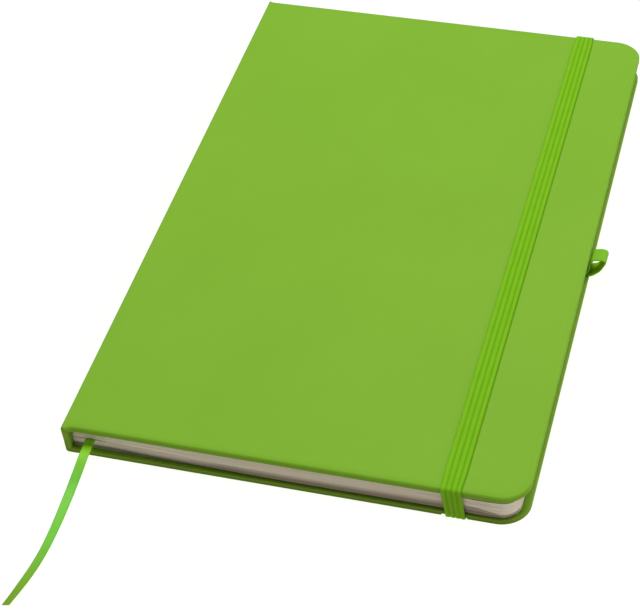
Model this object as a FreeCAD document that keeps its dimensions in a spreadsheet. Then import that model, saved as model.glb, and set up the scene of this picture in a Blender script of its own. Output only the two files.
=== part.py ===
import FreeCAD, Part
import math
import os

import Sketcher

# Hardcover notebook, 13 x 21 cm, closed and lying on its back cover.
#
# Working frame of the dimensions below: X runs from the spine's outer face (0) to the
# fore-edge, Y runs from the tail edge of the covers (0) to the head edge, Z runs up from the
# outer face of the back cover (0).  Every object's Placement then moves it by
# (-shift_x, -shift_y, 0), so that the origin is under the middle of the notebook.

DIMS = [
    # alias, value in mm, what it is
    ("cover_width", 130.4, "spine's outer face to the fore-edge of the covers"),
    ("cover_height", 210.0, "tail edge to head edge of the covers"),
    ("total_thickness", 10.4, "outer face to outer face, closed"),
    ("cover_thickness", 2.0, "one cover: skin, board, turn-in and pastedown"),
    ("hinge_radius", 1.0, "half of the cover thickness; outer radius of the spine's corners"),
    ("hinge_play", 1.15, "from the hinge axis to the near end of a cover's stiff part"),
    ("corner_radius", 8.5, "rounded fore-edge corners of the covers"),
    ("skin_thickness", 0.35, "soft-touch covering sheet"),
    ("board_thickness", 1.2, "grey board of the covers and of the spine"),
    ("paper_thickness", 0.1, "endpaper leaf"),
    ("edge_round_out", 0.5, "rounding of a covered edge, outer side"),
    ("edge_round_back", 0.35, "rounding of a covered edge, inner side"),
    ("turn_in", 14.0, "width of the covering turned in over the board"),
    ("endpaper_margin", 2.5, "pastedown's edge to the cover's edge"),
    ("endpaper_corner", 6.0, "rounded corners of the pastedown"),
    ("block_gap", 0.2, "between a pastedown and its flyleaf when closed"),
    ("block_start", 2.4, "spine's outer face to the text block"),
    ("block_square", 1.2, "tail and head edges of the covers past the block"),
    ("fore_square", 2.2, "fore-edge of the covers past the block"),
    ("block_corner", 5.0, "rounded fore-edge corners of the block"),
    ("spine_clear", 1.82, "stiff spine parts stay this far from a hinge axis"),
    ("spine_lip", 0.05, "flat past the spine's rounded corner"),
    ("spine_round_back", 0.65, "inner radius of the spine's corners"),
    ("lining_thickness", 0.3, "cloth and paper glued on the block's spine"),
    ("lining_end", 4.0, "lining's end to the cover's edge"),
    ("lining_low", 2.6, "lining's lowest point"),
    ("band_centre", 110.85, "elastic's centre line from the spine's outer face"),
    ("band_width", 6.2, "elastic's width"),
    ("band_thickness", 0.6, "elastic's thickness"),
    ("band_gap", 0.05, "elastic to the cover it lies on"),
    ("band_low", 0.03, "lowest face of the elastic's returns"),
    ("relief_depth", 0.65, "pressed channel for a return in the back cover"),
    ("relief_width", 6.8, "width of that channel and of the slot"),
    ("slot_start", 15.0, "cover's edge to the slot"),
    ("slot_width", 0.8, "slot for the elastic, along the notebook"),
    ("tab_end", 28.0, "glued end of the elastic, from the cover's edge"),
    ("tab_play", 0.02, "glued end to the board and to the paper"),
    ("loop_start", 100.8, "pen loop's tail side"),
    ("loop_width", 5.4, "pen loop's width along the notebook"),
    ("loop_thickness", 0.5, "pen loop's elastic"),
    ("loop_in", 129.75, "pen loop's side next to the block"),
    ("loop_out", 135.6, "pen loop's outermost point"),
    ("loop_low", 1.3, "pen loop's lowest point"),
    ("loop_high", 8.9, "pen loop's highest point"),
    ("loop_round", 2.9, "pen loop's outer radius"),
    ("loop_round_back", 2.4, "pen loop's inner radius"),
    ("loop_root", 116.6, "pen loop's glued end"),
    ("loop_root_end", 131.5, "where the glued end runs into the loop"),
    ("ribbon_width", 2.8, "bookmark ribbon's width"),
    ("ribbon_thickness", 0.25, "bookmark ribbon's thickness"),
    ("ribbon_x", 7.3, "ribbon's centre line in the block"),
    ("ribbon_z", 4.7, "ribbon's height in the block"),
    ("ribbon_play", 0.04, "ribbon to the pages it lies between"),
    ("shift_x", 67.8, "half of the width over the pen loop"),
    ("shift_y", 105.0, "half of the height"),
]

doc = FreeCAD.newDocument("notebook")
sheet = doc.addObject("Spreadsheet::Sheet", "Dims")
for row, (alias, value, what) in enumerate(DIMS, 1):
    sheet.set("A%d" % row, what)
    sheet.set("B%d" % row, str(value))
    sheet.setAlias("B%d" % row, alias)
doc.recompute()


class Size:
    """A length that carries both its number and the expression that binds it to the sheet."""

    def __init__(self, text, value):
        self.text, self.value = text, value

    def _other(self, o):
        return o if isinstance(o, Size) else Size(repr(float(o)), float(o))

    def __add__(self, o):
        o = self._other(o)
        return Size("(%s + %s)" % (self.text, o.text), self.value + o.value)

    __radd__ = __add__

    def __sub__(self, o):
        o = self._other(o)
        return Size("(%s - %s)" % (self.text, o.text), self.value - o.value)

    def __rsub__(self, o):
        return self._other(o) - self

    def __mul__(self, o):
        o = self._other(o)
        return Size("(%s * %s)" % (self.text, o.text), self.value * o.value)

    __rmul__ = __mul__

    def __truediv__(self, o):
        o = self._other(o)
        return Size("(%s / %s)" % (self.text, o.text), self.value / o.value)

    def __neg__(self):
        return Size("(-%s)" % self.text, -self.value)


class Dimensions:
    pass


d = Dimensions()
for alias, value, what in DIMS:
    setattr(d, alias, Size("Dims.%s" % alias, float(sheet.get(alias))))

ZERO = Size("0", 0.0)
W, H, T = d.cover_width, d.cover_height, d.total_thickness


def placed(obj):
    """The working frame's origin goes under the notebook's middle."""
    obj.setExpression("Placement.Base.x", "-Dims.shift_x")
    obj.setExpression("Placement.Base.y", "-Dims.shift_y")
    return obj


nodes = []


def new_body(label):
    body = doc.addObject("PartDesign::Body", label)
    body.Label = label
    nodes.append(placed(body))
    return body


def new_sketch(body, name, role, offset):
    s = body.newObject("Sketcher::SketchObject", name)
    plane = [f for f in body.Origin.OriginFeatures if f.Role == role][0]
    s.AttachmentSupport = [(plane, "")]
    s.MapMode = "FlatFace"
    s.AttachmentOffset = FreeCAD.Placement(
        FreeCAD.Vector(0, 0, offset.value), FreeCAD.Rotation()
    )
    s.setExpression("AttachmentOffset.Base.z", offset.text)
    return s


def fix_point(s, geo, pos, axis, size, name):
    """Ties one coordinate of a point to the sheet."""
    if size is ZERO:
        s.addConstraint(Sketcher.Constraint("PointOnObject", geo, pos, -2 if axis == "X" else -1))
        return
    i = s.addConstraint(Sketcher.Constraint("Distance" + axis, -1, 1, geo, pos, size.value))
    s.renameConstraint(i, name)
    s.setExpression("Constraints." + name, size.text)


def polygon(s, points):
    """A closed outline; points are (u, v) pairs of Size."""
    base = s.GeometryCount
    n = len(points)
    for i in range(n):
        a, b = points[i], points[(i + 1) % n]
        s.addGeometry(
            Part.LineSegment(
                FreeCAD.Vector(a[0].value, a[1].value, 0),
                FreeCAD.Vector(b[0].value, b[1].value, 0),
            ),
            False,
        )
    for i in range(n):
        s.addConstraint(
            Sketcher.Constraint("Coincident", base + i, 2, base + (i + 1) % n, 1)
        )
    for i in range(n):
        fix_point(s, base + i, 1, "X", points[i][0], "u%d_%d" % (base, i))
        fix_point(s, base + i, 1, "Y", points[i][1], "v%d_%d" % (base, i))


def rectangle(s, u0, u1, v0, v1):
    polygon(s, [(u0, v0), (u1, v0), (u1, v1), (u0, v1)])


def cover_outline(s, x0, x1, y0, y1, r):
    """A rectangle whose two corners at x1 are rounded, as on the fore-edge of a cover."""
    p = [(x0, y0), (x1 - r, y0), (x1, y0 + r), (x1, y1 - r), (x1 - r, y1), (x0, y1)]
    v = [FreeCAD.Vector(a.value, b.value, 0) for a, b in p]
    line = lambda a, b: Part.LineSegment(v[a], v[b])
    s.addGeometry(line(0, 1), False)
    c = FreeCAD.Vector((x1 - r).value, (y0 + r).value, 0)
    circle = Part.Circle(c, FreeCAD.Vector(0, 0, 1), r.value)
    s.addGeometry(Part.ArcOfCircle(circle, -math.pi / 2, 0), False)
    s.addGeometry(line(2, 3), False)
    c = FreeCAD.Vector((x1 - r).value, (y1 - r).value, 0)
    circle = Part.Circle(c, FreeCAD.Vector(0, 0, 1), r.value)
    s.addGeometry(Part.ArcOfCircle(circle, 0, math.pi / 2), False)
    s.addGeometry(line(4, 5), False)
    s.addGeometry(line(5, 0), False)
    for i in range(6):
        s.addConstraint(Sketcher.Constraint("Coincident", i, 2, (i + 1) % 6, 1))
    for i, (geo, pos) in enumerate([(0, 1), (0, 2), (2, 1), (2, 2), (4, 1), (4, 2)]):
        fix_point(s, geo, pos, "X", p[i][0], "u%d" % i)
        fix_point(s, geo, pos, "Y", p[i][1], "v%d" % i)
    for geo in (1, 3):
        i = s.addConstraint(Sketcher.Constraint("Radius", geo, r.value))
        s.renameConstraint(i, "r%d" % geo)
        s.setExpression("Constraints.r%d" % geo, r.text)


def rounded_rectangle(s, u0, u1, v0, v1, r):
    """A rectangle with four rounded corners."""
    p = [(u0 + r, v0), (u1 - r, v0), (u1, v0 + r), (u1, v1 - r),
         (u1 - r, v1), (u0 + r, v1), (u0, v1 - r), (u0, v0 + r)]
    centres = [(u1 - r, v0 + r), (u1 - r, v1 - r), (u0 + r, v1 - r), (u0 + r, v0 + r)]
    v = [FreeCAD.Vector(a.value, b.value, 0) for a, b in p]
    for i in range(4):
        s.addGeometry(Part.LineSegment(v[2 * i], v[2 * i + 1]), False)
        c = FreeCAD.Vector(centres[i][0].value, centres[i][1].value, 0)
        circle = Part.Circle(c, FreeCAD.Vector(0, 0, 1), r.value)
        a = (i - 1) * math.pi / 2
        s.addGeometry(Part.ArcOfCircle(circle, a, a + math.pi / 2), False)
    for i in range(8):
        s.addConstraint(Sketcher.Constraint("Coincident", i, 2, (i + 1) % 8, 1))
    for i in range(8):
        geo, pos = (i // 2) * 2, 1 + i % 2
        fix_point(s, geo, pos, "X", p[i][0], "u%d" % i)
        fix_point(s, geo, pos, "Y", p[i][1], "v%d" % i)
    for geo in (1, 3, 5, 7):
        i = s.addConstraint(Sketcher.Constraint("Radius", geo, r.value))
        s.renameConstraint(i, "r%d" % geo)
        s.setExpression("Constraints.r%d" % geo, r.text)


def add_pad(body, s, name, length):
    f = body.newObject("PartDesign::Pad", name)
    f.Profile = s
    f.setExpression("Length", length.text)
    before = body.Shape.Volume if not body.Shape.isNull() else 0.0
    doc.recompute()
    if not body.Shape.Volume > before:
        raise RuntimeError("%s added nothing" % name)
    return f


def add_pocket(body, s, name, length):
    f = body.newObject("PartDesign::Pocket", name)
    f.Profile = s
    f.setExpression("Length", length.text)
    before = body.Shape.Volume
    doc.recompute()
    if not body.Shape.Volume < before - 1e-6:
        raise RuntimeError("%s cut nothing" % name)
    return f


def add_fillet(body, base, name, radius, wanted):
    """Rounds the edges of base for which wanted(edge) is true."""
    edges = ["Edge%d" % (i + 1) for i, e in enumerate(base.Shape.Edges) if wanted(e)]
    f = body.newObject("PartDesign::Fillet", name)
    f.Base = (base, edges)
    f.setExpression("Radius", radius.text)
    doc.recompute()
    return f


def slab(body, name, outline, low, high):
    """Pads an outline on the XY plane between two heights."""
    s = new_sketch(body, name + "_sketch", "XY_Plane", low)
    outline(s)
    return add_pad(body, s, name, high - low)


def slab_cut(body, name, outline, low, high):
    s = new_sketch(body, name + "_sketch", "XY_Plane", high)
    outline(s)
    return add_pocket(body, s, name, high - low)


def along_y(body, name, outline, low, high):
    """Pads an outline on the XZ plane between two distances from the tail; its normal is -Y."""
    s = new_sketch(body, name + "_sketch", "XZ_Plane", -high)
    outline(s)
    return add_pad(body, s, name, high - low)


def along_y_cut(body, name, outline, low, high):
    s = new_sketch(body, name + "_sketch", "XZ_Plane", -low)
    outline(s)
    return add_pocket(body, s, name, high - low)


def at_edge(edge, test):
    return all(test(v.Point) for v in edge.Vertexes)


# ---------------------------------------------------------------- the two covers

skin, board, paper = d.skin_thickness, d.board_thickness, d.paper_thickness
near = d.hinge_radius + d.hinge_play  # where a cover's stiff part starts
fore_in = W - d.turn_in

# levels through a cover, from its outer face inwards
L_SKIN = skin
L_BOARD = skin + board
L_TURN = d.cover_thickness - paper
L_ALL = d.cover_thickness

band_lo = d.band_centre - d.relief_width / 2.0
band_hi = d.band_centre + d.relief_width / 2.0
slot_end = d.slot_start + d.slot_width
loop_end = d.loop_start + d.loop_width


def cover(side):
    """One cover: covering, board and pastedown.  side is front (on top) or back (below)."""
    front = side == "front"

    def between(a, b):
        """Heights of the stretch between two levels that are counted from the outer face."""
        return (T - b, T - a) if front else (a, b)

    # covering sheet, wrapped round the board and turned in on three sides
    body = new_body(side + "_cover_skin")
    lo, hi = between(ZERO, L_TURN)
    plate = slab(body, side + "_skin_plate",
                 lambda s: cover_outline(s, near, W, ZERO, H, d.corner_radius), lo, hi)
    outer_z, inner_z = (hi.value, lo.value) if front else (lo.value, hi.value)
    rim = lambda z: (lambda e: at_edge(e, lambda p: abs(p.z - z) < 1e-6)
                     and not at_edge(e, lambda p: abs(p.x - near.value) < 1e-6))
    rounded = add_fillet(body, plate, side + "_skin_round", d.edge_round_out, rim(outer_z))
    rounded = add_fillet(body, rounded, side + "_skin_round_back", d.edge_round_back, rim(inner_z))
    lo, hi = between(L_SKIN, L_BOARD)
    slab_cut(body, side + "_skin_hollow",
             lambda s: cover_outline(s, near - 1.0, W - skin, skin, H - skin,
                                     d.corner_radius - skin), lo, hi)
    lo, hi = between(L_BOARD, L_TURN)
    slab_cut(body, side + "_skin_opening",
             lambda s: rectangle(s, near - 1.0, fore_in, d.turn_in, H - d.turn_in), lo, hi)
    if not front:
        # the covering dips into the two pressed channels of the elastic
        def dips(s):
            rectangle(s, band_lo - skin, band_hi + skin, ZERO + 0.2, slot_end + skin)
            rectangle(s, band_lo - skin, band_hi + skin, H - slot_end - skin, H - 0.2)

        def channels(s):
            rectangle(s, band_lo, band_hi, ZERO - 1.0, slot_end)
            rectangle(s, band_lo, band_hi, H - slot_end, H + 1.0)

        def slots(s):
            rectangle(s, band_lo, band_hi, d.slot_start, slot_end)
            rectangle(s, band_lo, band_hi, H - slot_end, H - d.slot_start)

        slab(body, "back_skin_dips", dips, skin, d.relief_depth + skin)
        slab_cut(body, "back_skin_channels", channels, ZERO - 1.0, d.relief_depth)
        slab_cut(body, "back_skin_slots", slots, d.relief_depth - 0.1, L_BOARD)
        slab_cut(body, "back_skin_loop_seat",
                 lambda s: rectangle(s, fore_in - 1.0, W + 1.0, d.loop_start - 0.05,
                                     loop_end + 0.05), d.loop_low, L_ALL)

    # board
    body = new_body(side + "_board")
    lo, hi = between(L_SKIN, L_BOARD)
    slab(body, side + "_board_plate",
         lambda s: cover_outline(s, near, W - skin, skin, H - skin, d.corner_radius - skin),
         lo, hi)
    if not front:
        slab_cut(body, "back_board_channels", dips, ZERO, d.relief_depth + skin)
        slab_cut(body, "back_board_slots", slots, ZERO, L_ALL)
        slab_cut(body, "back_board_loop_seat",
                 lambda s: rectangle(s, fore_in - 1.0, W + 1.0, d.loop_start - 0.05,
                                     loop_end + 0.05), d.loop_low, L_ALL)

    # pastedown: flat over the turn-in, stepping down onto the bare board
    body = new_body(side + "_pastedown")
    lo, hi = between(L_TURN, L_ALL)
    slab(body, side + "_pastedown_rim",
         lambda s: cover_outline(s, near, W - d.endpaper_margin, d.endpaper_margin,
                                 H - d.endpaper_margin, d.endpaper_corner), lo, hi)
    lo, hi = between(L_BOARD, L_TURN)
    slab(body, side + "_pastedown_step",
         lambda s: rectangle(s, near, fore_in, d.turn_in, H - d.turn_in), lo, hi)
    lo, hi = between(L_BOARD + paper, L_ALL)
    slab_cut(body, side + "_pastedown_dish",
             lambda s: rectangle(s, near - 1.0, fore_in - paper, d.turn_in + paper,
                                 H - d.turn_in - paper), lo, hi)
    if not front:
        # it rides over the elastic's two glued ends
        def over(s):
            rectangle(s, band_lo, band_hi, d.turn_in + 0.05, d.tab_end + 0.4)
            rectangle(s, band_lo, band_hi, H - d.tab_end - 0.4, H - d.turn_in - 0.05)

        def under(s):
            rectangle(s, band_lo + paper, band_hi - paper, d.turn_in - 0.5, d.tab_end + 0.3)
            rectangle(s, band_lo + paper, band_hi - paper, H - d.tab_end - 0.3,
                      H - d.turn_in + 0.5)

        slab(body, "back_pastedown_bumps", over, L_BOARD, L_ALL)
        slab_cut(body, "back_pastedown_pockets", under, ZERO, L_TURN)


cover("front")
cover("back")

# ---------------------------------------------------------------- the spine

# covering on the spine: its rounded corners are concentric with the two hinge axes
body = new_body("spine_skin")
lip = d.hinge_radius + d.spine_lip
pad = along_y(body, "spine_wrap", lambda s: polygon(s, [
    (ZERO, ZERO), (lip, ZERO), (lip, skin), (skin, skin),
    (skin, T - skin), (lip, T - skin), (lip, T), (ZERO, T),
]), ZERO, H)
corner = lambda x: (lambda e: at_edge(e, lambda p: abs(p.x - x) < 1e-6
                                      and min(abs(p.z - x), abs(T.value - p.z - x)) < 1e-6)
                    and abs(e.Vertexes[0].Point.y - e.Vertexes[-1].Point.y) > 1.0)
pad = add_fillet(body, pad, "spine_corners", d.hinge_radius, corner(0.0))
pad = add_fillet(body, pad, "spine_corners_back", d.spine_round_back, corner(skin.value))
stiff_lo = d.hinge_radius + d.spine_clear
stiff_hi = T - d.hinge_radius - d.spine_clear
for end, (y0, y1, y2) in {
    "tail": (ZERO, skin, d.turn_in), "head": (H, H - skin, H - d.turn_in)
}.items():
    lo, hi = (y0, y1) if end == "tail" else (y1, y0)
    along_y(body, "spine_fold_" + end,
            lambda s: rectangle(s, skin - 0.05, L_TURN, stiff_lo, stiff_hi), lo, hi)
    lo, hi = (y0, y2) if end == "tail" else (y2, y0)
    along_y(body, "spine_turn_in_" + end,
            lambda s: rectangle(s, L_BOARD, L_TURN, stiff_lo, stiff_hi), lo, hi)

body = new_body("spine_board")
along_y(body, "spine_strip", lambda s: rectangle(s, skin, L_BOARD, stiff_lo, stiff_hi),
        skin, H - skin)

# ---------------------------------------------------------------- the text block

block_lo = d.cover_thickness + d.block_gap
block_hi = T - d.cover_thickness - d.block_gap
block_x0, block_x1 = d.block_start, W - d.fore_square
block_y0, block_y1 = d.block_square, H - d.block_square


def leaf(s):
    cover_outline(s, block_x0, block_x1, block_y0, block_y1, d.block_corner)


body = new_body("text_block")
slab(body, "pages", leaf, block_lo + paper, block_hi - paper)
along_y_cut(body, "ribbon_gap",
            lambda s: rectangle(s, d.ribbon_x - d.ribbon_width / 2.0 - d.ribbon_play,
                                d.ribbon_x + d.ribbon_width / 2.0 + d.ribbon_play,
                                d.ribbon_z - d.ribbon_thickness / 2.0 - d.ribbon_play,
                                d.ribbon_z + d.ribbon_thickness / 2.0 + d.ribbon_play),
            ZERO - 1.0, H + 1.0)

body = new_body("front_flyleaf")
slab(body, "front_leaf", leaf, block_hi - paper, block_hi)
body = new_body("back_flyleaf")
slab(body, "back_leaf", leaf, block_lo, block_lo + paper)

body = new_body("spine_lining")
slab(body, "lining",
     lambda s: rectangle(s, block_x0 - d.lining_thickness, block_x0, d.lining_end,
                         H - d.lining_end), d.lining_low, T - d.lining_low)

# ---------------------------------------------------------------- the pen loop

body = new_body("pen_loop")
along_y(body, "loop_outside",
        lambda s: rounded_rectangle(s, d.loop_in, d.loop_out, d.loop_low, d.loop_high,
                                    d.loop_round), d.loop_start, loop_end)
along_y_cut(body, "loop_inside",
            lambda s: rounded_rectangle(s, d.loop_in + d.loop_thickness,
                                        d.loop_out - d.loop_thickness,
                                        d.loop_low + d.loop_thickness,
                                        d.loop_high - d.loop_thickness, d.loop_round_back),
            d.loop_start - 1.0, loop_end + 1.0)
along_y(body, "loop_glued_end",
        lambda s: rectangle(s, d.loop_root, d.loop_root_end, d.loop_low,
                            d.loop_low + d.loop_thickness), d.loop_start, loop_end)

# ---------------------------------------------------------------- the elastic closure

# One strip: round the front cover's tail and head edges, along the pressed channels of the
# back cover, up through its slots and under the pastedown.
body = new_body("elastic_closure")
g, e = d.band_gap, d.band_thickness
low, up = d.band_low, d.band_low + d.band_thickness
top_in, top_out = T + g, T + g + e
riser_lo = d.slot_start + (d.slot_width - e) / 2.0
riser_hi = riser_lo + e
tab_lo, tab_hi = L_BOARD + d.tab_play, L_TURN - d.tab_play
half = [
    (-(g + e), low), (riser_hi, low), (riser_hi, tab_lo), (d.tab_end, tab_lo),
    (d.tab_end, tab_hi), (riser_lo, tab_hi), (riser_lo, up), (-g, up), (-g, top_in),
]
other = [(H - y, z) for y, z in reversed(half)]
points = half + other + [(H + g + e, top_out), (-(g + e), top_out)]
s = new_sketch(body, "elastic_sketch", "YZ_Plane", d.band_centre - d.band_width / 2.0)
polygon(s, points)
pad = add_pad(body, s, "elastic_strip", d.band_width)
bend = lambda e: (abs(e.Vertexes[0].Point.x - e.Vertexes[-1].Point.x) > 1.0
                  and at_edge(e, lambda p: min(abs(p.y + (g + d.band_thickness).value),
                                               abs(p.y - (H + g + d.band_thickness).value)) < 1e-6))
add_fillet(body, pad, "elastic_bends", d.edge_round_out, bend)

# ---------------------------------------------------------------- the bookmark ribbon

body = new_body("bookmark_ribbon_inner")
along_y(body, "ribbon_in_block",
        lambda s: rectangle(s, d.ribbon_x - d.ribbon_width / 2.0,
                            d.ribbon_x + d.ribbon_width / 2.0,
                            d.ribbon_z - d.ribbon_thickness / 2.0,
                            d.ribbon_z + d.ribbon_thickness / 2.0),
        block_y0, block_y1 + 0.4)

# The free end: out of the pages, down over the back cover's tail edge and along the table.
# The route's points; straight runs between them are joined by tangent arcs.
RIBBON_ROUTE = [
    (7.30, 1.20, 4.70),
    (7.22, -3.70, 4.62),
    (6.85, -8.30, 2.55),
    (6.45, -12.90, 0.42),
    (6.60, -18.40, 0.17),
    (7.10, -26.60, 0.17),
    (7.05, -36.00, 0.17),
    (5.80, -46.00, 0.17),
    (3.60, -55.60, 0.17),
]


def rounded_path(points):
    """Edges of the straight runs and tangent arcs along a route, and the arcs' radii."""
    v = [FreeCAD.Vector(*p) for p in points]
    edges, radii = [], []
    start = v[0]
    for i in range(1, len(v) - 1):
        a, b = v[i] - v[i - 1], v[i + 1] - v[i]
        turn = a.getAngle(b)
        cut = 0.45 * min(a.Length, b.Length)
        radius = cut / math.tan(turn / 2.0)
        radii.append(radius)
        ua, ub = FreeCAD.Vector(a).normalize(), FreeCAD.Vector(b).normalize()
        p0, p1 = v[i] - ua * cut, v[i] + ub * cut
        inward = (ub - ua).normalize()
        centre = v[i] + inward * (radius / math.cos(turn / 2.0))
        middle = centre + (v[i] - centre).normalize() * radius
        edges.append(Part.LineSegment(start, p0).toShape())
        edges.append(Part.Arc(p0, middle, p1).toShape())
        start = p1
    edges.append(Part.LineSegment(start, v[-1]).toShape())
    return Part.Wire(edges), radii


ribbon_w, ribbon_t = float(sheet.get("ribbon_width")), float(sheet.get("ribbon_thickness"))
route = [(float(sheet.get("ribbon_x")), RIBBON_ROUTE[0][1], float(sheet.get("ribbon_z")))]
route += RIBBON_ROUTE[1:]
path, radii = rounded_path(route)
first = (FreeCAD.Vector(*route[1]) - FreeCAD.Vector(*route[0])).normalize()
side = first.cross(FreeCAD.Vector(0, 0, 1)).normalize()
up_dir = side.cross(first).normalize()
p0 = FreeCAD.Vector(*route[0])
section = Part.makePolygon([
    p0 + side * (i * ribbon_w / 2.0) + up_dir * (j * ribbon_t / 2.0)
    for i, j in ((-1, -1), (1, -1), (1, 1), (-1, 1), (-1, -1))
])
strip = path.makePipeShell([section], True, False)
ribbon = doc.addObject("Part::Feature", "bookmark_ribbon")
ribbon.Label = "bookmark_ribbon"
ribbon.Shape = strip
nodes.append(placed(ribbon))

print("ribbon: length %.2f mm, arc radii %s mm" % (path.Length, [round(r, 1) for r in radii]))
print("ribbon: volume %.3f mm3, section x length %.3f mm3" % (
    strip.Volume, ribbon_w * ribbon_t * path.Length))
if abs(strip.Volume - ribbon_w * ribbon_t * path.Length) > 0.02 * strip.Volume:
    raise RuntimeError("the ribbon's volume isn't its section times its length")

# ---------------------------------------------------------------- checks and files

doc.recompute()
for o in doc.Objects:
    if any(word in o.State for word in ("Invalid", "Error")):
        raise RuntimeError("%s is %s" % (o.Label, o.State))

os.makedirs("parts", exist_ok=True)
for o in nodes:
    shape = o.Shape
    if shape.isNull() or not shape.isValid() or len(shape.Solids) != 1:
        raise RuntimeError("%s isn't one valid solid" % o.Label)
    b = shape.BoundBox
    print("%-22s %10.2f mm3  x %.2f..%.2f  y %.2f..%.2f  z %.2f..%.2f" % (
        o.Label, shape.Volume, b.XMin, b.XMax, b.YMin, b.YMax, b.ZMin, b.ZMax))

for o in nodes:
    o.Shape.exportStep("parts/%s.step" % o.Label)
print("%d nodes" % len(nodes))
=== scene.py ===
import math

import bpy
import numpy as np
from mathutils import Matrix, Vector

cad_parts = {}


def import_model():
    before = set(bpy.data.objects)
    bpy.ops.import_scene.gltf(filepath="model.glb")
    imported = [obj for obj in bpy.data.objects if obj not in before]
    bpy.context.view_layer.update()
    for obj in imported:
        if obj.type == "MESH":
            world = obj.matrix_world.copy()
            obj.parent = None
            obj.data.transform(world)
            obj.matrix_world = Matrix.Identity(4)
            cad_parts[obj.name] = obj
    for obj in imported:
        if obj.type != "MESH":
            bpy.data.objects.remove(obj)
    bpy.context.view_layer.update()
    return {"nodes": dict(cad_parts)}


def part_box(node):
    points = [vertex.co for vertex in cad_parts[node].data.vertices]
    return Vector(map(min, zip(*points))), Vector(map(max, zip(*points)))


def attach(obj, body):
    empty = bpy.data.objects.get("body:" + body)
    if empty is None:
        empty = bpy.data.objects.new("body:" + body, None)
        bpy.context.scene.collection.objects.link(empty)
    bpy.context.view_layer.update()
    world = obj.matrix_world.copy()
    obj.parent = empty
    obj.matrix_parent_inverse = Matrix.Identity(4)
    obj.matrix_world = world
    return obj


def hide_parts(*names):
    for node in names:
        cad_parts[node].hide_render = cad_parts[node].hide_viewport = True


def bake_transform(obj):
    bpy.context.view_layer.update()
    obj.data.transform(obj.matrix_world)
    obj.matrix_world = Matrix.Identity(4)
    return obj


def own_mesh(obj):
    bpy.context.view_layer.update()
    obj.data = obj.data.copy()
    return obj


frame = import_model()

# ------------------------------------------------------------------ sizes, in millimetres
# Working frame: x from the spine to the fore-edge, y from the tail to the head, z up from the
# back cover's outer face.  Its origin is the spine's lower corner at the tail.
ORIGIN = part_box("spine_skin")[0]


def span(node):
    lo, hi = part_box(node)
    return [(a - b) * 1000.0 for a, b in zip(lo, ORIGIN)], [(a - b) * 1000.0 for a, b in zip(hi, ORIGIN)]


(_, _, PLATE_IN), (X1, H, T) = span("front_cover_skin")      # 130.4, 210, 10.4; 8.5
DEPTH = T - PLATE_IN                                          # covering, board and turn-in: 1.9
(_, EY0, EZ0), (PX1, EY1, _) = span("front_pastedown")        # endpaper margin and level
(BX0, BY0, BZ0), (BX1, BY1, BZ1) = span("text_block")
(_, _, FZ0), (_, _, FZ1) = span("front_flyleaf")
(EX0, ELY0, ELZ0), (EX1, ELY1, ELZ1) = span("elastic_closure")
(LX0, LY0, LZ0), (LX1, LY1, LZ1) = span("pen_loop")
(RX0, _, RZ0), (RX1, _, RZ1) = span("bookmark_ribbon_inner")
CORNER = 8.5
BLOCK_CORNER = 5.0
PASTE_CORNER = 6.0
SKIN = 0.35
TURN_IN = 14.0
SLOT0, SLOT1 = 15.0, 15.8
RIB_X, RIB_Z = (RX0 + RX1) / 2, (RZ0 + RZ1) / 2
HINGE = 1.0                                                   # the hinge axes' distance from two faces


def world(p):
    return (ORIGIN[0] + p[0] / 1000.0, ORIGIN[1] + p[1] / 1000.0, ORIGIN[2] + p[2] / 1000.0)


def smooth(t):
    t = min(1.0, max(0.0, t))
    return t * t * (3 - 2 * t)


def ramp(v, a, b):
    """0 at a, 1 at b, smoothly."""
    return smooth((v - a) / (b - a))


# ------------------------------------------------------------------ the camera
camera = bpy.data.objects.new("Camera", bpy.data.cameras.new("Camera"))
bpy.context.scene.collection.objects.link(camera)
camera.data.lens = 113.2539
camera.data.sensor_width = 36.0
camera.data.clip_start, camera.data.clip_end = 0.01, 20.0
camera.matrix_world = Matrix((
    (0.9654530, -0.1441976, 0.2170426, 0.11719275),
    (0.2569705, 0.6649679, -0.7012730, -0.45445763),
    (-0.0432045, 0.7328197, 0.6790499, 0.40941368),
    (0, 0, 0, 1),
))
bpy.context.scene.camera = camera


# ------------------------------------------------------------------ mesh helpers
def piece(name, verts, faces, material, attributes=None, uv=None, sharp=()):
    """A mesh object from points in millimetres.  attributes: name -> value per point;
    uv: pair per point; sharp: point-index pairs of edges that stay crisp."""
    mesh = bpy.data.meshes.new(name)
    mesh.from_pydata([world(v) for v in verts], [], faces)
    mesh.materials.append(material)
    for key, values in (attributes or {}).items():
        a = mesh.attributes.new(key, "FLOAT", "POINT")
        a.data.foreach_set("value", np.asarray(values, np.float32))
    if uv is not None:
        layer = mesh.uv_layers.new(name="UVMap")
        pairs = np.asarray(uv, np.float32)
        index = np.zeros(len(mesh.loops), np.int32)
        mesh.loops.foreach_get("vertex_index", index)
        layer.data.foreach_set("uv", pairs[index].ravel())
    mesh.polygons.foreach_set("use_smooth", [True] * len(mesh.polygons))
    if len(sharp):
        crisp = {frozenset(e) for e in sharp}
        for e in mesh.edges:
            if frozenset(e.vertices) in crisp:
                e.use_edge_sharp = True
    mesh.validate()
    mesh.update()
    o = bpy.data.objects.new(name, mesh)
    bpy.context.scene.collection.objects.link(o)
    return o


def loop_edges(ids):
    return [(ids[i], ids[(i + 1) % len(ids)]) for i in range(len(ids))]


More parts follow.
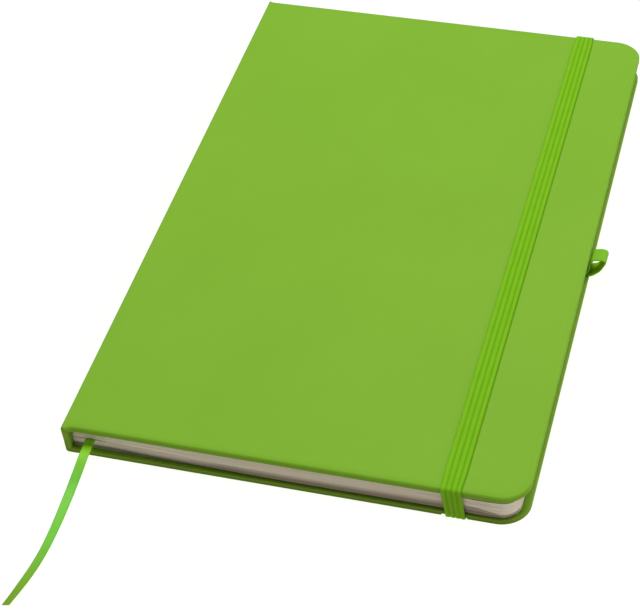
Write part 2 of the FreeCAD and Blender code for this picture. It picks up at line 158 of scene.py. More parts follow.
def sweep(centre, side, up, section, closed=False, scale=None, each=None):
    """Carries a closed section of (u, v) points along a line.  Returns points, faces, edges of
    the two end caps, and for each point the length along the line and its number in the
    section."""
    n, k = len(centre), len(section)
    verts, along, number = [], [], []
    run = 0.0
    for i in range(n):
        if i:
            run += (Vector(centre[i]) - Vector(centre[i - 1])).length
        for m, (u, v) in enumerate(section if each is None else each(i)):
            f, g = (1.0, 1.0) if scale is None else scale[i]
            p = Vector(centre[i]) + Vector(side[i]) * (u * f) + Vector(up[i]) * (v * g)
            verts.append(tuple(p))
            along.append(run)
            number.append(m)
    faces, crisp = [], []
    for i in range(n - (0 if closed else 1)):
        a, b = i * k, ((i + 1) % n) * k
        for m in range(k):
            m2 = (m + 1) % k
            faces.append((a + m, a + m2, b + m2, b + m))
    if not closed:
        first, last = list(range(k)), [(n - 1) * k + m for m in range(k)]
        faces.append(tuple(reversed(first)))
        faces.append(tuple(last))
        crisp = loop_edges(first) + loop_edges(last)
    return verts, faces, crisp, along, number


def frames(centre, across):
    """Unit width and thickness directions of a strip along a line.  across: the wished width
    direction at each point."""
    n = len(centre)
    side, up = [], []
    for i in range(n):
        a, b = Vector(centre[max(0, i - 1)]), Vector(centre[min(n - 1, i + 1)])
        t = (b - a).normalized()
        w = Vector(across[i])
        s = (w - t * w.dot(t)).normalized()
        side.append(s)
        up.append(s.cross(t).normalized())
    return side, up


def bend(points, radii, steps=8):
    """A line through 3-D points with its corners rounded to the given radii, for the formed
    strips that the notebook holds."""
    out = [Vector(points[0])]
    for i in range(1, len(points) - 1):
        p = Vector(points[i])
        a, b = Vector(points[i - 1]) - p, Vector(points[i + 1]) - p
        ua, ub = a.normalized(), b.normalized()
        turn = math.pi - ua.angle(ub)
        r = radii[i - 1]
        if turn < 1e-3 or r <= 0:
            out.append(p)
            continue
        cut = r * math.tan(turn / 2)
        mid = (ua + ub).normalized()
        centre = p + mid * (r / math.cos(turn / 2))
        s, e = p + ua * cut - centre, p + ub * cut - centre
        for q in range(steps + 1):
            f = q / steps
            w0 = math.sin((1 - f) * turn) / math.sin(turn)
            w1 = math.sin(f * turn) / math.sin(turn)
            out.append(centre + s * w0 + e * w1)
    out.append(Vector(points[-1]))
    return out


def through(points, steps=8):
    """A smooth line through points of any dimension (Catmull-Rom)."""
    ps = [np.asarray(p, float) for p in points]
    ps = [2 * ps[0] - ps[1]] + ps + [2 * ps[-1] - ps[-2]]
    out = []
    for a, b, c, d in zip(ps, ps[1:], ps[2:], ps[3:]):
        for q in range(steps):
            f = q / steps
            out.append(0.5 * (2 * b + (c - a) * f + (2 * a - 5 * b + 4 * c - d) * f ** 2
                              + (3 * b - a - 3 * c + d) * f ** 3))
    out.append(ps[-2])
    return out


def spaced(line, step):
    """The same line with no stretch longer than step."""
    out = [line[0]]
    for a, b in zip(line, line[1:]):
        n = max(1, int(math.ceil((b - a).length / step)))
        for q in range(1, n + 1):
            out.append(a.lerp(b, q / n))
    return out


# ------------------------------------------------------------------ material helpers
def linear(*rgb):
    return tuple(
        (c / 255 / 12.92) if c / 255 <= 0.04045 else ((c / 255 + 0.055) / 1.055) ** 2.4 for c in rgb
    ) + (1.0,)


class Shader:
    """A node material with a few short ways to add nodes."""

    def __init__(self, name, **sockets):
        self.m = bpy.data.materials.new(name)
        self.m.use_nodes = True
        self.t = self.m.node_tree
        self.t.nodes.clear()
        self.out = self.t.nodes.new("ShaderNodeOutputMaterial")
        self.b = self.t.nodes.new("ShaderNodeBsdfPrincipled")
        self.t.links.new(self.b.outputs[0], self.out.inputs[0])
        for k, v in sockets.items():
            self.b.inputs[k.replace("_", " ")].default_value = v

    def node(self, kind, sockets=None, **attrs):
        n = self.t.nodes.new("ShaderNode" + kind)
        for k, v in attrs.items():
            setattr(n, k, v)
        for k, v in (sockets or {}).items():
            if isinstance(v, bpy.types.NodeSocket):
                self.t.links.new(v, n.inputs[k])
            else:
                n.inputs[k].default_value = v
        return n

    def math(self, op, a, b=0.0, c=0.0, clamp=False):
        n = self.node("Math", operation=op, use_clamp=clamp)
        for i, v in enumerate((a, b, c)):
            if isinstance(v, bpy.types.NodeSocket):
                self.t.links.new(v, n.inputs[i])
            else:
                n.inputs[i].default_value = v
        return n.outputs[0]

    def coords(self, scale=(1, 1, 1)):
        """Object coordinates in millimetres, stretched."""
        tc = self.node("TexCoord")
        n = self.node("Mapping", {"Vector": tc.outputs["Object"]})
        n.inputs["Scale"].default_value = [1000.0 * s for s in scale]
        return n.outputs[0]

    def uv(self, scale=(1, 1)):
        n = self.node("UVMap", uv_map="UVMap")
        m = self.node("Mapping", {"Vector": n.outputs[0]})
        m.inputs["Scale"].default_value = (scale[0], scale[1], 1)
        return m.outputs[0]

    def noise(self, vector, scale, detail=2.0, rough=0.5, distort=0.0):
        n = self.node("TexNoise", {"Vector": vector, "Scale": scale, "Detail": detail,
                                   "Roughness": rough, "Distortion": distort})
        return n.outputs["Fac"]

    def voronoi(self, vector, scale, feature="F1", randomness=1.0):
        n = self.node("TexVoronoi", {"Vector": vector, "Scale": scale, "Randomness": randomness},
                      feature=feature)
        return n.outputs["Distance"]

    def attribute(self, name):
        return self.node("Attribute", attribute_name=name, attribute_type="GEOMETRY").outputs["Fac"]

    def fit(self, value, a, b, c, d):
        n = self.node("MapRange", {"Value": value, "From Min": a, "From Max": b,
                                   "To Min": c, "To Max": d})
        return n.outputs[0]

    def mix(self, factor, a, b, blend="MIX"):
        n = self.node("Mix", data_type="RGBA", blend_type=blend)
        for i, v in ((0, factor), (6, a), (7, b)):
            if isinstance(v, bpy.types.NodeSocket):
                self.t.links.new(v, n.inputs[i])
            else:
                n.inputs[i].default_value = v
        return n.outputs[2]

    def bump(self, height, distance, strength=1.0, normal=None):
        n = self.node("Bump", {"Height": height, "Distance": distance, "Strength": strength})
        if normal is not None:
            self.t.links.new(normal, n.inputs["Normal"])
        return n.outputs[0]

    def set(self, **links):
        for k, v in links.items():
            self.t.links.new(v, self.b.inputs[k.replace("_", " ")])
        return self.m


def cover_material():
    """Soft-touch coated covering: matt, with a very fine pressed grain."""
    s = Shader("soft_touch_green", Specular_IOR_Level=0.1, Sheen_Weight=0.03,
               Sheen_Roughness=0.5)
    p = s.coords()
    cloud = s.noise(p, 0.028, 3.0, 0.55)
    blot = s.noise(p, 0.22, 3.0, 0.6)
    speck = s.noise(p, 2.2, 2.0, 0.6)
    cells = s.voronoi(p, 2.7)
    wrinkle = s.noise(p, 5.5, 3.0, 0.6, 0.3)
    base = s.mix(s.fit(cloud, 0.3, 0.7, 0.0, 1.0), linear(123, 173, 44), linear(127, 177, 48))
    base = s.mix(s.fit(blot, 0.35, 0.65, 0.0, 0.3), base, linear(122, 173, 43))
    base = s.mix(s.fit(speck, 0.3, 0.7, 0.0, 0.2), base, linear(115, 166, 40))
    valley = s.fit(cells, 0.0, 0.6, 0.0, 1.0)
    base = s.mix(s.math("MULTIPLY", valley, 0.10), base, linear(104, 152, 34))
    edge = s.attribute("edge")
    # painted shade: the rounded edges are painted a darker olive
    edge_shade = s.math("MULTIPLY", edge, s.fit(blot, 0.3, 0.7, 0.20, 0.45))
    base = s.mix(edge_shade, base, linear(106, 148, 24))
    # painted shade: the covers' edge faces and turned-in margins are painted olive, and where the amount passes 1
    # a deeper green, darkest low on the back cover's tail face
    shade = s.attribute("shade")
    base = s.mix(s.fit(shade, 0.0, 1.0, 0.0, 0.6), base, linear(101, 110, 3))
    base = s.mix(s.fit(shade, 1.0, 2.0, 0.0, 1.0), base, linear(60, 74, 5))
    grain = s.math("ADD", s.math("MULTIPLY", valley, -0.6), s.math("MULTIPLY", wrinkle, 0.8))
    normal = s.bump(grain, 0.000022, 0.55)
    normal = s.bump(s.noise(p, 0.06, 2.0), 0.0006, 0.12, normal)
    rough = s.math("ADD", s.fit(speck, 0.25, 0.75, 0.54, 0.64), s.math("MULTIPLY", edge, 0.4))
    return s.set(Base_Color=base, Roughness=rough, Normal=normal)


def elastic_material():
    """Ribbed knitted elastic; u runs along the strip and v across, in millimetres."""
    s = Shader("knitted_elastic_green", Specular_IOR_Level=0.06, Sheen_Weight=0.08,
               Sheen_Roughness=0.4, Sheen_Tint=linear(150, 220, 20))
    uv = s.uv()
    parts = s.node("SeparateXYZ", {"Vector": uv})
    u, v = parts.outputs[0], parts.outputs[1]
    # V-shaped stitches in rows of 0.42 mm, four or five to a rib
    cell = s.math("ABSOLUTE", s.math("SUBTRACT", s.math("FRACT", s.math("DIVIDE", v, 0.425)), 0.5))
    phase = s.math("ADD", s.math("DIVIDE", u, 0.5), s.math("MULTIPLY", cell, 1.1))
    stitch = s.math("ABSOLUTE", s.math("SINE", s.math("MULTIPLY", phase, math.pi)))
    thread = s.math("SUBTRACT", 1.0, s.math("MULTIPLY", cell, 2.0))
    knit = s.math("ADD", s.math("MULTIPLY", stitch, 0.6), s.math("MULTIPLY", thread, 0.4))
    fuzz = s.noise(uv, 6.0, 3.0, 0.65)
    slow = s.noise(s.uv((0.16, 0.7)), 1.0, 2.0)
    groove_shade = s.attribute("groove_shade")
    base = s.mix(s.fit(slow, 0.3, 0.7, 0.0, 1.0), linear(109, 173, 19), linear(117, 180, 26))
    base = s.mix(s.math("MULTIPLY", knit, 0.28), base, linear(133, 194, 28))
    base = s.mix(s.fit(fuzz, 0.35, 0.7, 0.0, 0.2), base, linear(93, 154, 6))
    # painted shade: the grooves between the ribs and the strip's side walls are painted darker
    base = s.mix(s.math("MULTIPLY", groove_shade, 0.5), base, linear(86, 140, 3))
    # painted highlight along the ribs' crowns
    base = s.mix(s.math("MULTIPLY", s.attribute("crest_highlight"), 0.18), base, linear(141, 197, 48))
    # painted shade and light: the edge away from the light is painted as a darker line, and the other edge is
    # painted lighter so that it hardly shows
    front = s.math("SUBTRACT", 1.0, s.attribute("side"))
    base = s.mix(s.math("MULTIPLY", s.math("MULTIPLY", s.attribute("rim"), front), 0.6), base,
                 linear(86, 132, 0))
    base = s.mix(s.math("MULTIPLY", s.math("MULTIPLY", s.attribute("near"), front), 0.6), base,
                 linear(150, 204, 62))
    # painted shade: the legs round the covers' tail and head edges are painted darker olive
    base = s.mix(s.math("MULTIPLY", s.attribute("side"), 0.35), base, linear(112, 138, 2))
    height = s.math("ADD", knit, s.math("MULTIPLY", fuzz, 0.5))
    normal = s.bump(height, 0.00006, 0.7)
    rough = s.fit(knit, 0.0, 1.0, 0.78, 0.6)
    return s.set(Base_Color=base, Roughness=rough, Normal=normal)


def loop_material():
    """Plain woven elastic tape of the pen loop."""
    s = Shader("woven_elastic_green", Specular_IOR_Level=0.06, Sheen_Weight=0.08,
               Sheen_Roughness=0.4, Sheen_Tint=linear(150, 220, 20))
    uv = s.uv()
    parts = s.node("SeparateXYZ", {"Vector": uv})
    u, v = parts.outputs[0], parts.outputs[1]
    a = s.math("ABSOLUTE", s.math("SINE", s.math("MULTIPLY", u, math.pi / 0.42)))
    b = s.math("ABSOLUTE", s.math("SINE", s.math("MULTIPLY", v, math.pi / 0.45)))
    weave = s.math("ADD", s.math("MULTIPLY", a, 0.55), s.math("MULTIPLY", b, 0.45))
    fuzz = s.noise(uv, 5.0, 3.0, 0.6)
    base = s.mix(s.math("MULTIPLY", weave, 0.5), linear(114, 176, 34), linear(138, 200, 58))
    base = s.mix(s.fit(fuzz, 0.35, 0.7, 0.0, 0.25), base, linear(88, 146, 8))
    # painted light: the inner faces of the open loop are painted lighter and more olive-yellow
    base = s.mix(s.math("MULTIPLY", s.attribute("inner"), 0.8), base, linear(172, 208, 4))
    normal = s.bump(s.math("ADD", weave, s.math("MULTIPLY", fuzz, 0.4)), 0.00007, 0.7)
    rough = s.fit(weave, 0.0, 1.0, 0.8, 0.62)
    return s.set(Base_Color=base, Roughness=rough, Normal=normal)


def ribbon_material():
    """Satin ribbon: fine crosswise rows under long shining floats."""
    s = Shader("satin_green", Specular_IOR_Level=0.15, Anisotropic=0.55, Sheen_Weight=0.04,
               Sheen_Roughness=0.3)
    uv = s.uv()
    parts = s.node("SeparateXYZ", {"Vector": uv})
    u, v = parts.outputs[0], parts.outputs[1]
    rows = s.math("ABSOLUTE", s.math("SINE", s.math("MULTIPLY", u, math.pi / 0.3)))
    floats = s.math("ABSOLUTE", s.math("SINE", s.math("MULTIPLY", v, math.pi / 0.17)))
    selvedge = s.math("GREATER_THAN", s.math("ABSOLUTE", v), 1.19)
    uneven = s.noise(s.uv((0.25, 2.5)), 1.0, 2.0)
    weave = s.math("ADD", s.math("MULTIPLY", rows, 0.45), s.math("MULTIPLY", floats, 0.55))
    base = s.mix(s.fit(uneven, 0.3, 0.7, 0.0, 1.0), linear(110, 194, 54), linear(122, 206, 70))
    base = s.mix(s.math("MULTIPLY", weave, 0.35), base, linear(144, 224, 96))
    base = s.mix(s.math("MULTIPLY", selvedge, 0.45), base, linear(88, 156, 34))
    # painted light: where it comes out of the pages it is painted brighter and yellower against the book's shade,
    # and towards the cut end painted olive where the satin shows no sheen
    base = s.mix(s.fit(u, 2.0, 11.0, 0.9, 0.0), base, linear(146, 212, 0))
    base = s.mix(s.fit(u, 32.0, 56.0, 0.0, 0.9), base, linear(118, 156, 2))
    normal = s.bump(s.math("ADD", weave, s.math("MULTIPLY", selvedge, 0.8)), 0.00003, 0.6)
    rough = s.fit(weave, 0.0, 1.0, 0.48, 0.34)
    return s.set(Base_Color=base, Roughness=rough, Normal=normal)


def pages_material():
    """Edges of the stacked cream leaves: fine lines along the stack."""
    s = Shader("cream_pages", Specular_IOR_Level=0.15, Roughness=0.85)
    fine = s.noise(s.coords((0.02, 0.02, 7.0)), 1.0, 2.0, 0.6)
    leafs = s.noise(s.coords((0.012, 0.012, 2.4)), 1.0, 2.0, 0.5)
    group = s.noise(s.coords((0.008, 0.008, 0.7)), 1.0, 1.0)
    fleck = s.noise(s.coords((0.9, 0.9, 5.0)), 1.0, 3.0)
    groove_shade = s.attribute("groove_shade")
    base = s.mix(s.fit(fine, 0.3, 0.7, 0.0, 1.0), linear(228, 215, 190), linear(243, 232, 209))
    base = s.mix(s.fit(leafs, 0.35, 0.65, 0.0, 0.4), base, linear(218, 204, 178))
    base = s.mix(s.fit(group, 0.35, 0.65, 0.0, 0.3), base, linear(238, 226, 202))
    base = s.mix(s.fit(fleck, 0.45, 0.75, 0.0, 0.15), base, linear(200, 184, 158))
    # painted shade: the lowest leaves at the tail are painted darker
    base = s.mix(s.attribute("low"), base, linear(84, 66, 46))
    # painted shade in the lines between bundles of leaves
    base = s.mix(groove_shade, base, linear(120, 104, 84))
    height = s.math("ADD", fine, s.math("MULTIPLY", leafs, 0.8))
    normal = s.bump(height, 0.00012, 0.6)
    return s.set(Base_Color=base, Normal=normal)


def endpaper_material():
    """Ivory endpaper with a faint fibre structure."""
    s = Shader("ivory_endpaper", Specular_IOR_Level=0.2)
    p = s.coords()
    cloud = s.noise(p, 0.35, 4.0, 0.6)
    fibre = s.noise(s.coords((5.0, 1.3, 5.0)), 1.0, 4.0, 0.7, 1.2)
    fleck = s.voronoi(s.coords((0.8, 0.35, 0.8)), 1.0)
    base = s.mix(s.fit(cloud, 0.3, 0.7, 0.0, 1.0), linear(238, 230, 212), linear(244, 238, 223))
    base = s.mix(s.fit(fibre, 0.5, 0.8, 0.0, 0.3), base, linear(224, 213, 190))
    base = s.mix(s.math("LESS_THAN", fleck, 0.035), base, linear(206, 190, 160))
    # painted shade: the back endpaper's strip along the tail is painted dark
    base = s.mix(s.attribute("low"), base, linear(70, 60, 42))
    normal = s.bump(s.math("ADD", fibre, cloud), 0.00003, 0.5)
    rough = s.fit(cloud, 0.3, 0.7, 0.72, 0.84)
    return s.set(Base_Color=base, Roughness=rough, Normal=normal)


def board_material():
    """Grey board of pressed waste paper."""
    s = Shader("grey_board", Specular_IOR_Level=0.15, Roughness=0.9)
    p = s.coords()
    cloud = s.noise(p, 0.5, 5.0, 0.65)
    chips = s.voronoi(s.coords((0.9, 0.5, 3.0)), 1.0)
    layer = s.noise(s.coords((0.1, 0.1, 5.0)), 1.0, 2.0)
    base = s.mix(s.fit(cloud, 0.3, 0.7, 0.0, 1.0), linear(126, 118, 104), linear(152, 143, 127))
    base = s.mix(s.math("LESS_THAN", chips, 0.12), base, linear(98, 92, 84))
    base = s.mix(s.fit(layer, 0.4, 0.7, 0.0, 0.3), base, linear(112, 104, 90))
    return s.set(Base_Color=base, Normal=s.bump(s.math("ADD", cloud, layer), 0.0001, 0.6))


def lining_material():
    """Open mull cloth over paper on the block's spine."""
    s = Shader("spine_mull", Specular_IOR_Level=0.15, Roughness=0.88)
    p = s.coords()
    parts = s.node("SeparateXYZ", {"Vector": p})
    a = s.math("ABSOLUTE", s.math("SINE", s.math("MULTIPLY", parts.outputs[1], math.pi / 0.7)))
    b = s.math("ABSOLUTE", s.math("SINE", s.math("MULTIPLY", parts.outputs[2], math.pi / 0.7)))
    weave = s.math("MAXIMUM", s.math("POWER", a, 4.0), s.math("POWER", b, 4.0))
    fuzz = s.noise(p, 3.0, 3.0)
    base = s.mix(weave, linear(214, 206, 188), linear(238, 232, 218))
    base = s.mix(s.fit(fuzz, 0.4, 0.7, 0.0, 0.3), base, linear(196, 186, 164))
    return s.set(Base_Color=base, Normal=s.bump(weave, 0.00008, 0.7))


def floor_material():
    s = Shader("studio_floor", Specular_IOR_Level=0.1)
    p = s.coords()
    cloud = s.noise(p, 0.004, 2.0)
    base = s.mix(cloud, linear(251, 251, 251), linear(253, 253, 253))
    rough = s.fit(s.noise(p, 0.5, 2.0), 0.3, 0.7, 0.86, 0.94)
    return s.set(Base_Color=base, Roughness=rough)


COVER = cover_material()
ELASTIC = elastic_material()
LOOP = loop_material()
RIBBON = ribbon_material()
PAGES = pages_material()
ENDPAPER = endpaper_material()
BOARD = board_material()
LINING = lining_material()
FLOOR = floor_material()

# ------------------------------------------------------------------ the bookmark ribbon
# The route's points, in the working frame.
RIBBON_ROUTE = [
    (7.30, 1.20, 4.70),
    (7.40, -3.70, 4.62),
    (7.00, -8.30, 2.55),
    (6.50, -12.90, 0.42),
    (6.70, -18.40, 0.24),
    (7.10, -26.60, 0.41),
    (7.10, -36.00, 0.52),
    (6.00, -46.00, 0.60),
    (3.90, -55.60, 0.82),
]


def route_line(points, name, resolution=14):
    """Points along a smooth NURBS line whose control points are the route's, in millimetres."""
    data = bpy.data.curves.new(name, "CURVE")
    data.dimensions = "3D"
    data.resolution_u = resolution
    line = data.splines.new("NURBS")
    line.points.add(len(points) - 1)
    for p, q in zip(line.points, points):
        p.co = (*q, 1.0)
    line.order_u = 3
    line.use_endpoint_u = True
    holder = bpy.data.objects.new(name, data)
    bpy.context.scene.collection.objects.link(holder)
    bpy.context.view_layer.update()
    mesh = bpy.data.meshes.new_from_object(holder)
    out = [v.co.copy() for v in mesh.vertices]
    bpy.data.objects.remove(holder)
    bpy.data.curves.remove(data)
    bpy.data.meshes.remove(mesh)
    return out


def ribbon_section(width, thickness, points=13):
    """Flat section with slightly thicker selvedges and round edges."""
    h, t = width / 2, thickness / 2
    top = []
    for i in range(points):
        u = -h + 0.06 + (width - 0.12) * i / (points - 1)
        edge = ramp(abs(u), h - 0.28, h - 0.1)
        top.append((u, t * (0.74 + 0.26 * edge)))
    right = [(h - 0.015, t * 0.55), (h, 0.0), (h - 0.015, -t * 0.55)]
    return top + right + [(u, -v) for u, v in reversed(top)] + [(-u, v) for u, v in reversed(right)]


line = route_line(RIBBON_ROUTE, "ribbon_route")
RIBBON_T = RZ1 - RZ0
n = len(line)
across = []
for i in range(n):
    # towards its end the ribbon leans on its left selvedge
    lean = math.radians(15.0) * ramp(-line[i].y, 8.0, 36.0) + math.radians(12.0) * ramp(-line[i].y, 44.0, 56.0)
    across.append((math.cos(lean), 0.0, math.sin(lean)))
side, up = frames(line, across)
section = ribbon_section(RX1 - RX0, RIBBON_T)
verts, faces, crisp, along, number = sweep(line, side, up, section)
ribbon = piece("ribbon", verts, faces, RIBBON, uv=[(a, section[m][0]) for a, m in zip(along, number)],
               sharp=crisp)
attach(ribbon, "book_block")
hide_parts("bookmark_ribbon")


# ------------------------------------------------------------------ the covering
def channel(x, y):
    """Depth pressed into the back cover for the elastic's ends."""
    y = min(y, H - y)
    mid = (EX0 + EX1) / 2
    half = (EX1 - EX0) / 2
    wide = 1.0 - ramp(abs(x - mid), half + 0.2, half + 0.55)
    depth = 0.65 * wide * (1.0 - ramp(y, SLOT1 + 0.02, SLOT1 + 0.5))
    slot = (1.0 - ramp(abs(x - mid), half + 0.1, half + 0.22)) * ramp(y, SLOT0 - 0.12, SLOT0) * (
        1.0 - ramp(y, SLOT1 - 0.02, SLOT1 + 0.1))
    return depth + slot * 0.95


def seat(x, y):
    """1 where the pen loop's glued end lies in the inner face of the back cover."""
    return ramp(x, 115.6, 116.4) * ramp(y, LY0 - 0.35, LY0 - 0.05) * (
        1.0 - ramp(y, LY1 + 0.05, LY1 + 0.35))


def covering(name, back, spine_radius, lean):
    """Half of the covering: one cover and its half of the spine.

    The sheet runs from the middle of the spine round the spine's corner to the fore-edge, over
    the board's edges, and is turned in behind it."""
    # stations from the middle of the spine to the fore-edge: outer point, inner point
    outer, inner, arc = [], [], []
    top = T - spine_radius
    steps = 9
    for i in range(steps):
        f = i / steps
        z = T / 2 + (top - T / 2) * f
        outer.append((lean * smooth((z - T / 2) / (T / 2)), z))
        inner.append((DEPTH, T / 2 + (8.1 - T / 2) * f))
    c_in = (DEPTH + 0.4, 8.1)
    for i in range(15):
        a = math.pi - (math.pi / 2) * i / 14
        shift = lean * smooth((top + spine_radius * math.sin(a) - T / 2) / (T / 2)) * (
            1 - smooth(i / 14))
        outer.append((spine_radius * (1 + math.cos(a)) + shift, top + spine_radius * math.sin(a)))
        inner.append((c_in[0] + 0.4 * math.cos(a), c_in[1] + 0.4 * math.sin(a)))
    xs = [spine_radius + v for v in (0.12, 0.35, 0.8, 1.5, 2.4, 3.6, 5.0, 7.0, 9.5, 12.5)]
    if back:
        xs += list(np.arange(17.0, 105.0, 4.4))
        xs += [EX0 - v for v in (1.8, 1.2, 0.9, 0.75, 0.6, 0.45, 0.32, 0.22, 0.16, 0.1)]
        xs += [EX0 + 0.1, EX0 + 0.6, EX0 + 1.7, (EX0 + EX1) / 2, EX1 - 1.7, EX1 - 0.6, EX1 - 0.1]
        xs += [EX1 + v for v in (0.1, 0.16, 0.22, 0.32, 0.45, 0.6, 0.75, 0.9, 1.2)]
        xs += [115.7, 116.3, 117.5, 119.5]
    else:
        xs += list(np.arange(17.0, X1 - CORNER - 1.0, 4.4))
    for x in xs:
        t = min(1.0, max(0.0, (x - spine_radius) / 4.0))
        outer.append((x, T))
        inner.append((x + (c_in[0] - spine_radius) * (1 - t) ** 2, PLATE_IN))
    straight = len(outer)
    turns = [math.pi / 2 * i / 20 for i in range(21)]
    n = straight + len(turns)

    # rows between tail and head
    if back:
        ys = [1.2, 2.6, 4.5, 7.0, 10.0, 12.5, 14.0, 14.6, 14.86, 14.92, 14.97, 15.02, 15.2, 15.5,
              15.74, 15.8, 15.86, 15.92, 16.0, 16.1, 16.22, 16.36, 16.6, 17.2, 18.4, 20.0]
        middle = list(np.arange(24.0, 99.0, 4.5)) + [99.2, 99.9]
        middle += list(np.arange(100.3, 101.05, 0.1)) + [101.6, 103.5, 105.4]
        middle += list(np.arange(106.0, 106.75, 0.1)) + [107.2, 108.2]
        middle += list(np.arange(112.0, 188.0, 4.5))
    else:
        ys = [1.2, 2.6, 4.5, 7.0, 10.0, 13.5, 17.0, 20.0]
        middle = list(np.arange(24.2, 189.0, 4.3))
    ys = ys + [y for y in middle if 20.5 < y < H - 20.5] + [H - y for y in reversed(ys)]
    m = len(ys) - 1

    def plan(i, d):
        """Plan place of station i on the outline that is d inside the edge: x scale, y."""
        if i < straight:
            return None, d
        rc = max(CORNER - d, 0.3)
        a = turns[i - straight]
        return X1 - d - rc + rc * math.sin(a), d + rc - rc * math.cos(a)

    def shifted(x, d):
        """Stations near the fore-edge move back on outlines deep inside the edge."""
        rc = max(CORNER - d, 0.3)
        end = X1 - d - rc
        if x <= 100.0 or end >= X1 - CORNER - 1e-9:
            return x
        return 100.0 + (x - 100.0) * (end - 100.0) / (X1 - CORNER - 100.0)

    def point(i, y, d, depth):
        x, _ = plan(i, d)
        if x is None:
            (ox, oz), (ix, iz) = outer[i], inner[i]
            if ox > 100.0:
                ox = ix = shifted(ox, d)
        else:
            (ox, oz), (ix, iz) = (x, T), (x, PLATE_IN)
        if i >= straight and 0.0 < depth < ro and d < ro:
            # tighter along the fore-edge
            tight = 1.0 - 0.4 * math.sin(turns[i - straight]) ** 2
            depth *= tight
        if back and ox > 50:
            depth = depth + channel(ox, y) * (1 - depth / DEPTH)
            depth = depth * (1 - 0.316 * seat(ox, y))
        if i >= straight and depth > 1.8 and d > 0.5:
            # the turned-in sheet is gathered in small pleats round the corner
            a = turns[i - straight]
            fold = 0.5 - 0.5 * math.cos(a * 4 * 6)
            depth -= 0.07 * fold * ramp(d, 0.5, 1.6) * math.sin(2 * a)
        f = depth / DEPTH
        px, z = ox + (ix - ox) * f, oz + (iz - oz) * f
        if depth > 1.4 and i < straight:
            # at the joint the turned-in sheet lies lower, clear of the endpaper's fold
            z += 0.3 * ramp(px, 1.95, 2.25) * (1.0 - ramp(px, 3.0, 4.2)) * ramp(d, 1.2, 2.2)
        return (px, y, T - z if back else z)

    def row_y(i, j, d):
        """y of row j at station i on the grid that is d inside the edge."""
        _, y0 = plan(i, d)
        y = ys[j]
        if y < 20.0:
            return y0 + (y - ys[0]) * (20.0 - y0) / (20.0 - ys[0])
        if y > H - 20.0:
            return H - y0 - (H - ys[0] - y) * (20.0 - y0) / (20.0 - ys[0])
        return y

    # profile round the edge: how far inside the outline, how deep below the outer face
    ro, ri = (0.42, 0.42) if back else (1.1, 0.42)
    rings = []
    rings += [(ro * (1 - math.sin(a)), ro * (1 - math.cos(a)))
              for a in (math.pi / 2 * q / 7 for q in range(8))]
    rings += [(0.0, 1.3)]
    rings += [(ri * (1 - math.cos(a)), DEPTH - ri + ri * math.sin(a))
              for a in (math.pi / 2 * q / 4 for q in range(5))]
    rings += [(0.65, DEPTH), (1.2, DEPTH), (2.2, DEPTH), (4.0, DEPTH), (7.0, DEPTH), (10.5, DEPTH),
              (13.4, DEPTH), (13.8, DEPTH - 0.02), (13.95, DEPTH - 0.08), (TURN_IN, DEPTH - 0.2),
              (13.95, DEPTH - SKIN), (10.5, DEPTH - SKIN), (7.0, DEPTH - SKIN), (4.0, DEPTH - SKIN),
              (2.2, DEPTH - SKIN), (1.2, DEPTH - SKIN), (0.6, DEPTH - SKIN - 0.02),
              (SKIN, DEPTH - SKIN - 0.2), (SKIN, 0.9), (SKIN, 0.55), (0.6, SKIN + 0.02)]
    verts, edge, shade, faces, crisp = [], [], [], [], []

    def add(p, e, g=0.0):
        verts.append(p)
        edge.append(e)
        shade.append(g)
        return len(verts) - 1

    def corner_share(i):
        """How far station i is on the spine's rounded corner."""
        return math.sin(math.pi * (i - steps) / 14) if steps <= i <= steps + 14 else 0.0

    def grid(d, depth):
        # the outer face over the spine's rounded corner takes part of the edge's painted darker olive
        return [[add(point(i, row_y(i, j, d), d, depth), 0.7 * corner_share(i) if depth == 0 else 0.0)
                 for j in range(m + 1)] for i in range(n)]

    def painted_shade_at(i, amount):
        """The painted shade of the inner edges: full at the spine's ends and along the tail and head,
        weaker along the fore-edge."""
        if i < steps + 14:
            return 0.85 + max(0.0, amount - 0.85) * ramp(i, 0.0, steps + 14.0)
        if i >= straight:
            return amount * (1.0 - 0.4 * math.sin(turns[i - straight]) ** 2)
        return amount

    def rim(g):
        return [g[i][0] for i in range(n)] + [g[n - 1][j] for j in range(1, m)] + [
            g[i][m] for i in reversed(range(n))]

    def at(i, d, depth, head=False):
        """Place on the edge's profile at station i, for its tail end: the covering folds tight
        round the spine, stands a little proud at its front corner and is full beside it."""
        _, y = plan(i, d)
        if i >= straight:
            return y, depth
        x, z = outer[i]
        proud = 0.0
        if not back and not head:
            proud = float(np.interp(z, [3.4, 4.8, 6.4, 7.8, 9.7, T], [0, 0.16, 0.45, 0.62, 0.85, 0.75]))
            proud *= (1.0 - ramp(x, 0.3, 3.4)) * (1.0 - 0.5 * ramp(depth, 0.6, DEPTH)) * (
                1.0 - ramp(d, 0.5, 2.0))
        if d <= ro + 1e-9 and depth <= ro + 1e-9:
            full = 0.36 + 0.64 * ramp(x, 0.1, 1.2)
            return y * full - proud, depth * full
        return y - proud, depth

    outside = grid(2.1, 0.0)
    inside = grid(1.2, SKIN)
    chain = [rim(outside)]
    for d, depth in rings:
        # share marks the rounded outer edge, which is painted darker olive and made rougher
        share = 1.0 if d < 0.6 and 0.0 < depth < 1.0 else (0.35 if depth == 0.0 else 0.0)
